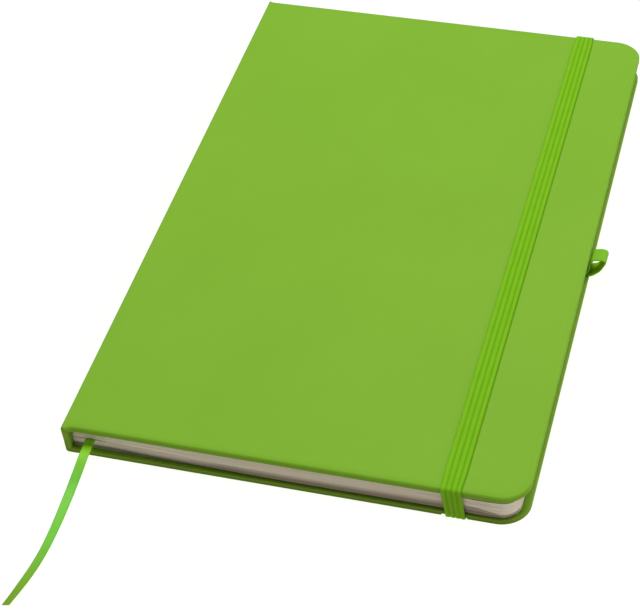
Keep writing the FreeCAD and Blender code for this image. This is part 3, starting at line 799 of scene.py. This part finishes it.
        # painted shade by depth in the edge: on the back cover darkest low on its tail face, near the floor
        if back:
            painted_shade = float(np.interp(depth, [0.1, 0.4, 0.9, 1.3, 1.6, 1.9], [1.5, 1.55, 1.5, 1.3, 1.0, 0.55]))
            painted_shade = painted_shade if depth > 0.05 and d < 8.0 else 0.0
        else:
            painted_shade = 0.7 * ramp(depth, 0.6, 1.3) if d < 8.0 else 0.0
        ids = []
        for i in range(n):
            y, deep = at(i, d, depth)
            ids.append(add(point(i, y, d, deep), share, painted_shade_at(i, painted_shade)))
        for j in range(1, m):
            ids.append(add(point(n - 1, row_y(n - 1, j, d), d, depth), 0.4 * share, painted_shade_at(n - 1, painted_shade)))
        for i in reversed(range(n)):
            y, deep = at(i, d, depth, True)
            ids.append(add(point(i, H - y, d, deep), share, painted_shade_at(i, painted_shade)))
        chain.append(ids)
    chain.append(rim(inside))

    def quad(a, b, c, e):
        faces.append((a, b, c, e) if not back else (e, c, b, a))

    for i in range(n - 1):
        for j in range(m):
            quad(outside[i][j], outside[i + 1][j], outside[i + 1][j + 1], outside[i][j + 1])
            quad(inside[i][j + 1], inside[i + 1][j + 1], inside[i + 1][j], inside[i][j])
    for a, b in zip(chain, chain[1:]):
        for q in range(len(a) - 1):
            quad(a[q], b[q], b[q + 1], a[q + 1])
    # the cut in the middle of the spine, where the other half begins
    cap = [outside[0][j] for j in range(m + 1)] + [c[-1] for c in chain[1:-1]] + [
        inside[0][j] for j in reversed(range(m + 1))] + [c[0] for c in reversed(chain[1:-1])]
    faces.append(tuple(cap) if not back else tuple(reversed(cap)))
    crisp += loop_edges(cap)
    return piece(name, verts, faces, COVER, {"edge": edge, "shade": shade}, sharp=crisp)


front = covering("covering_front", False, 0.55, 0.0)
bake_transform(front)
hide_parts("front_cover_skin", "spine_skin")
rear = covering("covering_back", True, 1.2, 0.2)
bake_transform(rear)
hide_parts("back_cover_skin")


# ------------------------------------------------------------------ the endpapers
def endpaper(name, back):
    """One folded sheet: the pastedown inside the cover, the fold at the hinge, the flyleaf."""
    paper = FZ1 - FZ0
    r_fold = (EZ0 + paper - FZ0) / 2          # outside of the fold
    zc = FZ0 + r_fold
    xf = BX0 + 0.05
    paste_x = [PX1]                            # replaced by the corner's stations
    xs_paste = [120.5, 118.5, 117.3, 116.8, 116.6, 116.45, 116.3, 116.15, 116.0, 115.8, 115.3]
    xs_paste += [EX1 + v for v in (0.9, 0.6, 0.45, 0.3, 0.15, 0.0, -0.2, -0.8)]
    xs_paste += [(EX0 + EX1) / 2]
    xs_paste += [EX0 - v for v in (-0.8, -0.2, 0.0, 0.15, 0.3, 0.45, 0.6, 0.9, 1.7)]
    xs_paste += list(np.arange(101.0, 6.5, -4.3)) + [5.4, 4.9, 4.4, 3.9, 3.4, 3.0, 2.7]
    xs_fly = [2.7, 3.2, 4.2, 6.0] + list(np.arange(10.0, BX1 - BLOCK_CORNER - 1.0, 4.3))
    rows = [2.5, 5.0, 8.5, 12.0, 13.3, 13.6, 13.75, 13.9, 14.05, 14.2, 14.35, 14.6, 15.6, 18.0,
            22.0, 26.0, 27.7, 28.1, 28.3, 28.45, 28.6, 28.75, 28.9, 29.3, 30.5]
    middle = list(np.arange(34.5, 99.0, 4.3)) + [99.8, 100.3, 100.6, 100.9, 101.2, 103.5, 105.8,
                                                 106.1, 106.4, 106.7, 107.2]
    middle += list(np.arange(111.5, H - 34.0, 4.3))
    ys = rows + middle + [H - y for y in reversed(rows)]
    m = len(ys) - 1
    turns = [math.pi / 2 * i / 14 for i in range(15)]
    stations = []                              # x, y of the tail edge, kind, angle
    for a in reversed(turns):
        stations.append((PX1 - PASTE_CORNER + PASTE_CORNER * math.sin(a),
                         EY0 + PASTE_CORNER - PASTE_CORNER * math.cos(a), "paste", 0.0))
    stations += [(x, EY0, "paste", 0.0) for x in xs_paste]
    for i in range(19):
        f = i / 18
        stations.append((xf, EY0 + (BY0 - EY0) * f, "fold", f))
    stations += [(x, BY0, "fly", 0.0) for x in xs_fly]
    for a in turns:
        stations.append((BX1 - 0.04 - BLOCK_CORNER + BLOCK_CORNER * math.sin(a),
                         BY0 + BLOCK_CORNER - BLOCK_CORNER * math.cos(a), "fly", 0.0))

    def raised(x, y):
        """0 on the bare board, 1 on the turned-in covering."""
        y = min(y, H - y)
        low = ramp(x, 3.0, 5.2) * (1 - ramp(x, 115.9, 116.7)) * ramp(y, 13.6, 14.4)
        if back:
            half = (EX1 - EX0) / 2
            tab = (1 - ramp(abs(x - (EX0 + EX1) / 2), half + 0.1, half + 0.7)) * (1 - ramp(y, 28.2, 28.9))
            low *= 1 - tab
        return 1 - low

    def bump(x, y):
        if not back:
            return 0.0
        return 0.06 * ramp(x, 116.4, 117.0) * ramp(y, LY0 - 0.5, LY0 + 0.1) * (
            1 - ramp(y, LY1 - 0.1, LY1 + 0.5))

    verts, faces, low = [], [], []
    seen, glued = [], []
    for x, y0, kind, f in stations:
        a_row, b_row = [], []
        for j in range(m + 1):
            y = ys[j]
            if y < 30.6:
                y = y0 + (y - ys[0]) * (30.5 - y0) / (30.5 - ys[0])
            elif y > H - 30.6:
                y = H - y0 - (H - ys[0] - y) * (30.5 - y0) / (30.5 - ys[0])
            if kind == "paste":
                z = EZ0 + 0.35 * (1 - raised(x, y)) - bump(x, y)
                see, glue = (x, z), (x, z + paper)
            elif kind == "fold":
                a = math.pi / 2 + math.pi * f
                see = (xf + (r_fold - paper) * math.cos(a), zc + (r_fold - paper) * math.sin(a))
                glue = (xf + r_fold * math.cos(a), zc + r_fold * math.sin(a))
            else:
                see, glue = (x, FZ1), (x, FZ0)
            for store, (px, pz) in ((a_row, see), (b_row, glue)):
                verts.append((px, y, T - pz if back else pz))
                store.append(len(verts) - 1)
                # painted shade along the tail of the back endpaper, in the crevice by the block
                low.append(0.7 * (1.0 - ramp(y, 2.8, 5.0)) * (1.0 - ramp(x, 112.0, 124.0)) if back else 0.0)
        seen.append(a_row)
        glued.append(b_row)

    def quad(a, b, c, e):
        faces.append((a, b, c, e) if not back else (e, c, b, a))

    n = len(stations)
    for i in range(n - 1):
        for j in range(m):
            quad(seen[i][j], seen[i + 1][j], seen[i + 1][j + 1], seen[i][j + 1])
            quad(glued[i][j + 1], glued[i + 1][j + 1], glued[i + 1][j], glued[i][j])
    rim_a = [seen[i][0] for i in range(n)] + [seen[n - 1][j] for j in range(1, m)] + [
        seen[i][m] for i in reversed(range(n))] + [seen[0][j] for j in range(m - 1, 0, -1)]
    rim_b = [glued[i][0] for i in range(n)] + [glued[n - 1][j] for j in range(1, m)] + [
        glued[i][m] for i in reversed(range(n))] + [glued[0][j] for j in range(m - 1, 0, -1)]
    for q in range(len(rim_a)):
        q2 = (q + 1) % len(rim_a)
        quad(rim_a[q], rim_b[q], rim_b[q2], rim_a[q2])
    return piece(name, verts, faces, ENDPAPER, {"low": low}, sharp=loop_edges(rim_a) + loop_edges(rim_b))


sheet_front = endpaper("endpaper_front", False)
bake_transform(sheet_front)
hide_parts("front_pastedown", "front_flyleaf")
sheet_back = endpaper("endpaper_back", True)
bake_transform(sheet_back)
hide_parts("back_pastedown", "back_flyleaf")


# ------------------------------------------------------------------ the pages
def pages():
    """The text block: stacked leaves with slightly uneven edges.  At the tail the lowest leaves
    have parted from the others and lie a little further in."""
    rnd = np.random.RandomState(7)

    def table(x, rows):
        return float(np.interp(x, [r[0] for r in rows], [r[1] for r in rows]))

    def square(x):
        """The lowest leaves' distance from the covers' tail edge."""
        return table(x, [(2, 1.95), (14, 1.85), (25, 1.45), (39, 1.15), (54, 0.93), (68, 0.85), (108, 0.86),
                         (116, 0.6), (120, 0.6), (126, 0.9), (130, 0.9)])

    def parting(x):
        return table(x, [(14, 3.8), (27, 3.7), (39, 3.9), (54, 4.2), (68, 4.3), (96, 4.5), (112, 4.3), (118, 3.7),
                         (124, 3.2)])

    # outline: point, outward normal, 1 at the tail to 0 further on
    outline = []
    for x in np.concatenate([[BX0 - 0.45, BX0 - 0.1, BX0 + 0.4, BX0 + 1.0], np.arange(BX0 + 1.8, 14.0, 0.45),
                             np.arange(14.2, BX1 - BLOCK_CORNER, 1.45)]):
        outline.append((float(x), BY0, 0.0, -1.0, 1.0))
    for i in range(21):
        a = math.pi / 2 * i / 20
        outline.append((BX1 - BLOCK_CORNER + BLOCK_CORNER * math.sin(a),
                        BY0 + BLOCK_CORNER - BLOCK_CORNER * math.cos(a),
                        math.sin(a), -math.cos(a), 1.0))
    lower = list(outline)
    for y in np.arange(BY0 + BLOCK_CORNER + 2.2, BY1 - BLOCK_CORNER - 1.0, 2.35):
        outline.append((BX1, float(y), 1.0, 0.0, 1.0 - ramp(y, 8.0, 50.0)))
    for x, y, nx, ny, _ in reversed(lower):
        outline.append((x, BY0 + BY1 - y, nx, -ny, 0.0))
    k = len(outline)
    # behind the block's spine the lining stops short of the tail and the head
    spine = [(BX0 - 0.45, BY1 - 2.0), (BX0 - 0.02, BY1 - 2.6)]
    spine += [(BX0, y) for y in (160.0, 105.0, 50.0)]
    spine += [(BX0 - 0.02, BY0 + 2.6), (BX0 - 0.45, BY0 + 2.0)]

    bundles = 21
    cuts = np.linspace(BZ0, BZ1, bundles + 1)
    cuts[1:-1] += rnd.uniform(-0.05, 0.05, bundles - 1)
    part_z, rib_z = 3.8, RIB_Z
    ip = int(np.argmin(np.abs(cuts - part_z)))
    ir = int(np.argmin(np.abs(cuts - rib_z)))
    cuts[ip], cuts[ir] = part_z, rib_z
    waves = rnd.uniform(0, 6.28, (bundles + 1, 4))
    amp = rnd.uniform(0.3, 1.0, (bundles + 1, 4))
    run = np.zeros(k)
    for i in range(1, k):
        run[i] = run[i - 1] + math.hypot(outline[i][0] - outline[i - 1][0],
                                         outline[i][1] - outline[i - 1][1])

    def wave(b, s, size):
        w = waves[b]
        v = (amp[b][0] * math.sin(s / 31.0 + w[0]) + amp[b][1] * math.sin(s / 12.7 + w[1])
             + amp[b][2] * math.sin(s / 71.0 + w[2]) + amp[b][3] * math.sin(s / 5.3 + w[3]) * 0.5)
        return size * v / 2.5

    def groove_depth(b, i):
        """How deep the line between two bundles is cut at outline point i, and 0 to 1 of painted shade in it."""
        x, y, nx, ny, tail = outline[i]
        s = run[i]
        base = 0.05 + 0.04 * (1 + math.sin(s / 23.0 + waves[b][1] * 3)) * amp[b][0]
        shade = 0.10 + 0.16 * amp[b][2] * (0.5 + 0.5 * math.sin(s / 17.0 + waves[b][3] * 2))
        if b == ip:
            share = ramp(x, 26.0, 52.0) * 0.45 + ramp(x, 100.0, 112.0) * 0.5 if y < 100 else 0.15
            share *= 1.0 - ramp(y, 4.0, 16.0) * (1.0 if y < 100 else 0.0)
            base += 0.6 * share
            shade += 0.8 * share
        if b == ir:
            near = 1.0 - ramp(abs(x - RIB_X), 1.7, 6.2)
            near *= 1.0 if (y < 3 or y > H - 3) else 0.0
            base += 1.5 * near
            shade += 0.8 * near
        return base, min(1.0, shade)

    def place(i, z, inset, lift=0.0):
        """A point of the block's edge: the leaves' skew at the tail is added here."""
        x, y, nx, ny, tail = outline[i]
        zp = part_z + (parting(x) - part_z) * tail
        low = z < part_z
        fan = tail * ramp(x, 22.0, 62.0)
        if low:
            f = (part_z - z) / (part_z - BZ0)
            skew = square(x) - BY0 - (0.12 + 0.18 * (1 - f)) * fan
            zz = BZ0 + (z - BZ0) * (zp - BZ0) / (part_z - BZ0)
        else:
            skew = square(x) - BY0 - 0.42 * fan
            zz = BZ1 - (BZ1 - z) * (BZ1 - zp) / (BZ1 - part_z)
        side = tail * max(0.0, -ny)
        px, py = x - nx * inset, y - ny * inset
        if tail > 0 and y < 20:
            py += skew * (1 - ramp(y, 2.0, 9.0))
        if low and nx > 0.2:
            px -= 0.35 * fan * nx * (1 - ramp(y, 10.0, 40.0))
        return (px, py, zz + lift)

    levels = []                                # z, bundle, kind
    for b in range(bundles + 1):
        half = 0.022
        if b == ip:
            half = 0.055
        if b == ir:
            half = 0.05
        if b > 0:
            levels.append((cuts[b] - half, b - 1, "face", b))
        if 0 < b < bundles:
            levels.append((cuts[b], b, "cut", b))
        if b < bundles:
            levels.append((cuts[b] + (half if b else 0.0), b, "face", b))
            levels.append(((cuts[b] + cuts[b + 1]) / 2, b, "mid", b))
    levels = sorted(levels, key=lambda q: q[0])
    levels[-1] = (BZ1, bundles - 1, "face", bundles)
    verts, groove_shade, low_leaf_shade, faces, rows = [], [], [], [], []
    for z, b, kind, c in levels:
        row = []
        for i, (x, y, nx, ny, tail) in enumerate(outline):
            inset = 0.07 + wave(b, run[i], 0.06)
            shade = 0.0
            lift = 0.0
            if kind == "cut":
                deep, shade = groove_depth(b, i)
                inset += deep
            elif kind == "mid":
                inset -= 0.012
            else:
                inset += 0.018
                if c in (ip, ir) and 0 < c < bundles:
                    deep, gap_shade = groove_depth(c, i)
                    open_by = min(0.09, deep * 0.12)
                    lift = -open_by if z < cuts[c] else open_by
                    # painted shade on the faces beside the opened lines
                    shade = gap_shade * 0.25
            inset = max(0.0, inset)
            verts.append(place(i, z, inset, lift))
            groove_shade.append(shade)
            # painted shade: the lowest leaves lie in the covers' shade, which is painted into them as darker
            # colour, and the tail edge as a whole is painted a little darker
            px, py, pz = verts[-1]
            deep = table(x, [(2, 1.15), (14, 1.3), (27, 1.8), (54, 2.8), (108, 3.0), (117, 2.95), (123, 1.6)])
            f = min(1.0, max(0.0, (BZ0 + deep - pz) / deep))
            near_spine = float(np.interp(f, [0, 0.25, 0.5, 0.75, 1.0], [0, 0.08, 0.24, 0.5, 0.66]))
            middle = float(np.interp(f, [0, 0.08, 0.22, 0.36, 0.5, 0.64, 0.8, 1.0],
                                     [0, 0.24, 0.35, 0.45, 0.61, 0.73, 0.74, 0.62]))
            near_corner = float(np.interp(f, [0, 0.04, 0.15, 0.3, 0.45, 0.6, 0.8, 1.0],
                                          [0, 0.6, 0.62, 0.42, 0.62, 0.76, 0.74, 0.5]))
            k = near_spine + (middle - near_spine) * ramp(x, 28.0, 50.0)
            k += (near_corner - k) * ramp(x, 104.0, 114.0)
            k = 1.0 - (1.0 - k) * (1.0 - 0.15 * (1.0 - ramp(x, 118.0, 126.0)))
            low_leaf_shade.append(k * (tail * (1.0 - ramp(y, 3.0, 9.0)) if y < 100
                                 else 0.5 * (1.0 if y > BY1 - 1.0 else 0.0)))
            row.append(len(verts) - 1)
        for x, y in spine:
            verts.append((x, y, z))
            groove_shade.append(0.0)
            low_leaf_shade.append(0.0)
            row.append(len(verts) - 1)
        rows.append(row)
    w = len(rows[0])
    for a, b in zip(rows, rows[1:]):
        for i in range(w):
            i2 = (i + 1) % w
            faces.append((a[i], a[i2], b[i2], b[i]))
    faces.append(tuple(reversed(rows[0])))
    faces.append(tuple(rows[-1]))
    crisp = loop_edges(rows[0]) + loop_edges(rows[-1])
    return piece("pages", verts, faces, PAGES, {"groove_shade": groove_shade, "low": low_leaf_shade}, sharp=crisp)


block = pages()
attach(block, "book_block")
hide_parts("text_block")


# ------------------------------------------------------------------ the elastic closure
def elastic():
    """One ribbed strip: out of a slot, round the tail edge, over the front cover, round the
    head edge and back into the other slot."""
    mid = (EX0 + EX1) / 2
    t = 0.6
    low = ELZ0 + t / 2
    top = ELZ1 - t / 2
    tail, head = ELY0 + t / 2, ELY1 - t / 2
    slot = (SLOT0 + SLOT1) / 2
    points = [
        (mid, slot, 1.42), (mid, slot, low), (mid + 0.5, tail, low),
        (mid - 0.95, tail, top), (mid + 0.12, head, top),
        (mid + 0.1, head, low), (mid, H - slot, low), (mid, H - slot, 1.42),
    ]
    line = bend(points, [0.42, 0.62, 0.9, 1.5, 0.62, 0.42], 9)
    line = spaced(line, 1.6)
    across = [(1.0, 0.0, 0.0)] * len(line)
    side, up = frames(line, across)
    # the stretched strip draws in where it goes round the covers
    scale = []
    for p in line:
        inland = min(p.y, H - p.y)
        bent = ramp(p.z, T - 1.4, T - 0.4) * (1.0 - ramp(inland, 0.6, 2.6))
        if p.z > T - 0.9:
            wide = 0.92 + 0.085 * ramp(inland, -1.0, 8.0)
        elif inland < 0.2 and p.z > 0.9:
            wide = 0.875 + 0.045 * ramp(p.z, 0.5, T - 0.9)
        else:
            wide = 0.875 + 0.05 * ramp(inland, 0.0, 6.0)
        scale.append((wide, 1.0 - 0.16 * bent))
    half = (EX1 - EX0) / 2
    section, rib_gap_shade, crest_highlight, relief, rim, near = [], [], [], [], [], []

    def rib(u):
        """Height of the ribbed face, and 0 to 1 in a groove."""
        g = max(math.exp(-((u - c) / 0.17) ** 2) for c in (-1.55, 0.0, 1.55))
        centre = min((-2.32, -0.78, 0.78, 2.32), key=lambda c: abs(u - c))
        crown = 0.11 * min(1.0, abs(u - centre) / 0.78) ** 2
        edge = ramp(abs(u), half - 0.35, half)
        return (t / 2) * (1 - 0.55 * edge ** 2), 0.12 * g + crown, g, math.exp(-((u - centre) / 0.3) ** 2)

    us = []
    for q in range(45):
        us.append(-half + 2 * half * q / 44)
    for u, face in [(u, 1) for u in us] + [(half, 0)] + [(u, -1) for u in reversed(us[::2])] + [(-half, 0)]:
        v, cut, g, c = rib(u)
        section.append((u, v * face))
        relief.append(cut * face)
        # painted shade in the grooves and on the side walls
        rib_gap_shade.append(g if face else 0.25)
        # painted highlight on each rib's crown
        crest_highlight.append(c if face else 0.0)
        # rim: painted shade along the right edge; near: painted light along the left edge
        rim.append(ramp(u, half - 0.5, half - 0.15) if face >= 0 else 0.0)
        near.append(1.0 - ramp(u, -half + 0.05, -half + 0.3) if face >= 0 else 0.0)

    def shape(i):
        """The ribs are pulled flat where the strip turns over an edge."""
        p = line[i]
        keep = 1.0 - 0.6 * ramp(p.z, T - 1.6, T - 0.6) * (1.0 - ramp(H - p.y, 0.2, 2.2))
        return [(u, v - r * keep) for (u, v), r in zip(section, relief)]

    verts, faces, crisp, along, number = sweep(line, side, up, section, scale=scale, each=shape)
    # painted shade on the parts below the front cover's face
    leg_shade = [1.0 - ramp(v[2], T - 1.6, T) for v in verts]
    o = piece("elastic_band_strip", verts, faces, ELASTIC,
              {"groove_shade": [rib_gap_shade[i] for i in number], "crest_highlight": [crest_highlight[i] for i in number],
               "rim": [rim[i] for i in number], "near": [near[i] for i in number], "side": leg_shade},
              uv=[(a, section[i][0]) for a, i in zip(along, number)], sharp=crisp)
    return o


band = elastic()
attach(band, "elastic_band")
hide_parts("elastic_closure")
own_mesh(band)


# ------------------------------------------------------------------ the pen loop
def pen_loop():
    """A flat elastic tape: glued in under the pastedown, it swings out and up, folds over and
    comes back down behind the covers' edges, where its end is glued onto the start."""
    t = 0.5
    # x, z of the tape's tail side and of its head side, and its thickness
    near = [
        (LX0 + 0.3, 1.55), (122.0, 1.55), (127.0, 1.55), (129.2, 1.58), (130.35, 1.88), (131.42, 2.42),
        (132.55, 3.40), (133.62, 4.50), (134.60, 6.30), (135.10, 7.60), (134.85, 8.25), (133.9, 8.62),
    ]
    far = [
        (LX0 + 0.3, 1.55), (122.0, 1.55), (127.0, 1.55), (129.2, 1.56), (130.5, 2.35), (131.6, 2.66),
        (132.5, 3.1), (133.2, 4.1), (134.15, 5.9), (135.15, 7.00), (134.85, 8.20), (133.7, 8.60),
    ]
    back_down = [(132.4, 8.42), (131.4, 8.1), (130.85, 7.6), (130.55, 6.8), (130.45, 5.2),
                 (130.3, 3.9), (129.7, 2.9), (128.6, 2.15)]
    thick = [1.0, 1.0, 1.0, 1.25, 1.6, 1.6, 1.3, 1.05] + [1.0] * (len(near) - 3) + [0.9, 0.75, 0.5]
    places = [(*p, *q, f) for p, q, f in zip(near + back_down, far + back_down, thick)]
    stations = through(places, 6)
    line = [Vector(((x0 + x1) / 2, (LY0 + LY1) / 2, (z0 + z1) / 2)) for x0, z0, x1, z1, _ in stations]
    across = [(x1 - x0, LY1 - LY0, z1 - z0) for x0, z0, x1, z1, _ in stations]
    side, up = frames(line, across)
    half = (LY1 - LY0) / 2
    top = []
    for q in range(15):
        u = -half + 0.12 + (2 * half - 0.24) * q / 14
        edge = ramp(abs(u), half - 0.5, half - 0.12)
        top.append((u, t / 2 * (0.86 + 0.14 * math.cos(u * 7.0)) * (1 - 0.18 * edge)))
    right = [(half - 0.03, t * 0.24), (half, 0.0), (half - 0.03, -t * 0.24)]
    section = top + right + [(u, -v) for u, v in reversed(top)] + [(-u, v) for u, v in reversed(right)]
    verts, faces, crisp, along, number = sweep(line, side, up, section,
                                               scale=[(1.0, st[4]) for st in stations])
    # painted light on the tape's inner side in the loop
    painted_light_side = [1.0 if v < -0.05 else 0.0 for u, v in section]
    inner = [painted_light_side[i] * ramp(v[0], 130.6, 132.0) for v, i in zip(verts, number)]
    return piece("pen_loop_tape", verts, faces, LOOP, {"inner": inner},
                 uv=[(a, section[i][0]) for a, i in zip(along, number)], sharp=crisp)


loop = pen_loop()
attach(loop, "back_cover")
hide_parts("pen_loop")


# ------------------------------------------------------------------ the ribbon's head end
def ribbon_head():
    """The ribbon's other end: out of the pages at the head and down behind the block's spine."""
    y = BY1
    points = [(RIB_X, y - 1.5, RIB_Z), (RIB_X - 0.1, y + 0.35, RIB_Z), (RIB_X - 2.4, y + 0.62, RIB_Z + 0.2),
              (2.9, y + 0.45, RIB_Z + 0.3), (2.02, y - 1.2, RIB_Z + 0.3), (2.0, y - 6.0, RIB_Z + 0.3)]
    line = route_line(points, "ribbon_head_route", 10)
    n = len(line)
    across = []
    for i in range(n):
        f = smooth((i / (n - 1) - 0.15) / 0.6)
        across.append((math.cos(f * math.pi / 2), 0.25 * math.sin(f * math.pi), math.sin(f * math.pi / 2)))
    side, up = frames(line, across)
    section = [(u * 0.97, v * 0.6) for u, v in ribbon_section(RX1 - RX0, RIBBON_T)]
    verts, faces, crisp, along, number = sweep(line, side, up, section)
    verts = [(x, min(yy, H - 0.05), z) for x, yy, z in verts]
    return piece("ribbon_head_end", verts, faces, RIBBON,
                 uv=[(a, section[i][0]) for a, i in zip(along, number)], sharp=crisp)


head_end = ribbon_head()
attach(head_end, "book_block")


# ------------------------------------------------------------------ CAD nodes that stay as they are
def finish_node(name, material):
    o = frame["nodes"][name]
    o.data.materials.clear()
    o.data.materials.append(material)


for node_name in ("front_board", "back_board", "spine_board"):
    finish_node(node_name, BOARD)
finish_node("spine_lining", LINING)


def inner_ribbon_material():
    """The same satin on a piece without a UV map: x runs across, y along."""
    s = Shader("satin_green_inner", Specular_IOR_Level=0.5, Roughness=0.42, Sheen_Weight=0.3,
               Sheen_Roughness=0.3)
    p = s.coords()
    parts = s.node("SeparateXYZ", {"Vector": p})
    rows = s.math("ABSOLUTE", s.math("SINE", s.math("MULTIPLY", parts.outputs[1], math.pi / 0.3)))
    floats = s.math("ABSOLUTE", s.math("SINE", s.math("MULTIPLY", parts.outputs[0], math.pi / 0.17)))
    weave = s.math("ADD", s.math("MULTIPLY", rows, 0.45), s.math("MULTIPLY", floats, 0.55))
    base = s.mix(s.math("MULTIPLY", weave, 0.35), linear(104, 186, 36), linear(140, 220, 84))
    return s.set(Base_Color=base, Normal=s.bump(weave, 0.00003, 0.6))


finish_node("bookmark_ribbon_inner", inner_ribbon_material())

# ------------------------------------------------------------------ floor and light
def floor():
    """A plain pale floor, far larger than the object."""
    half, n = 3000.0, 24
    verts = [(67.8 - half + 2 * half * i / n, 105 - half + 2 * half * j / n, -0.02)
             for i in range(n + 1) for j in range(n + 1)]
    faces = [(i * (n + 1) + j, (i + 1) * (n + 1) + j, (i + 1) * (n + 1) + j + 1, i * (n + 1) + j + 1)
             for i in range(n) for j in range(n)]
    o = piece("studio_floor", verts, faces, FLOOR)
    return o


ground = floor()


def area_light(name, place, target, width, height, power, colour=(1, 1, 1)):
    data = bpy.data.lights.new(name, "AREA")
    data.shape = "RECTANGLE"
    data.size, data.size_y = width, height
    data.energy = power
    data.color = colour
    o = bpy.data.objects.new(name, data)
    bpy.context.scene.collection.objects.link(o)
    o.location = place
    o.rotation_mode = "QUATERNION"
    o.rotation_quaternion = (Vector(target) - Vector(place)).to_track_quat("-Z", "Y")
    return o


overhead = area_light("overhead", (0.1, 0.50, 1.5), (0.1, 0.50, 0.0), 1.6, 1.0, 28.9)
right = area_light("right", (1.5, -0.05, 0.4), (0.06, -0.05, 0.0), 0.8, 0.6, 3.2)


def even_floor():
    """The floor has a light of its own, so the object throws almost no shadow on it."""
    data = bpy.data.lights.new("floor_light", "SUN")
    data.energy = 2.69
    o = bpy.data.objects.new("floor_light", data)
    bpy.context.scene.collection.objects.link(o)
    o.location = (0.0, 0.0, 2.0)
    lit = bpy.data.collections.new("floor_only")
    lit.objects.link(ground)
    o.light_linking.receiver_collection = lit
    o.light_linking.blocker_collection = lit
    rest = bpy.data.collections.new("all_but_floor")
    rest.objects.link(ground)
    for item in rest.collection_objects:
        item.light_linking.link_state = "EXCLUDE"
    for light in (overhead, right):
        light.light_linking.receiver_collection = rest


even_floor()

sky = bpy.data.worlds.new("studio")
bpy.context.scene.world = sky
sky.use_nodes = True
sky.node_tree.nodes["Background"].inputs["Color"].default_value = (1.0, 1.0, 1.0, 1.0)
sky.node_tree.nodes["Background"].inputs["Strength"].default_value = 0.2
bpy.context.scene.view_settings.view_transform = "Standard"
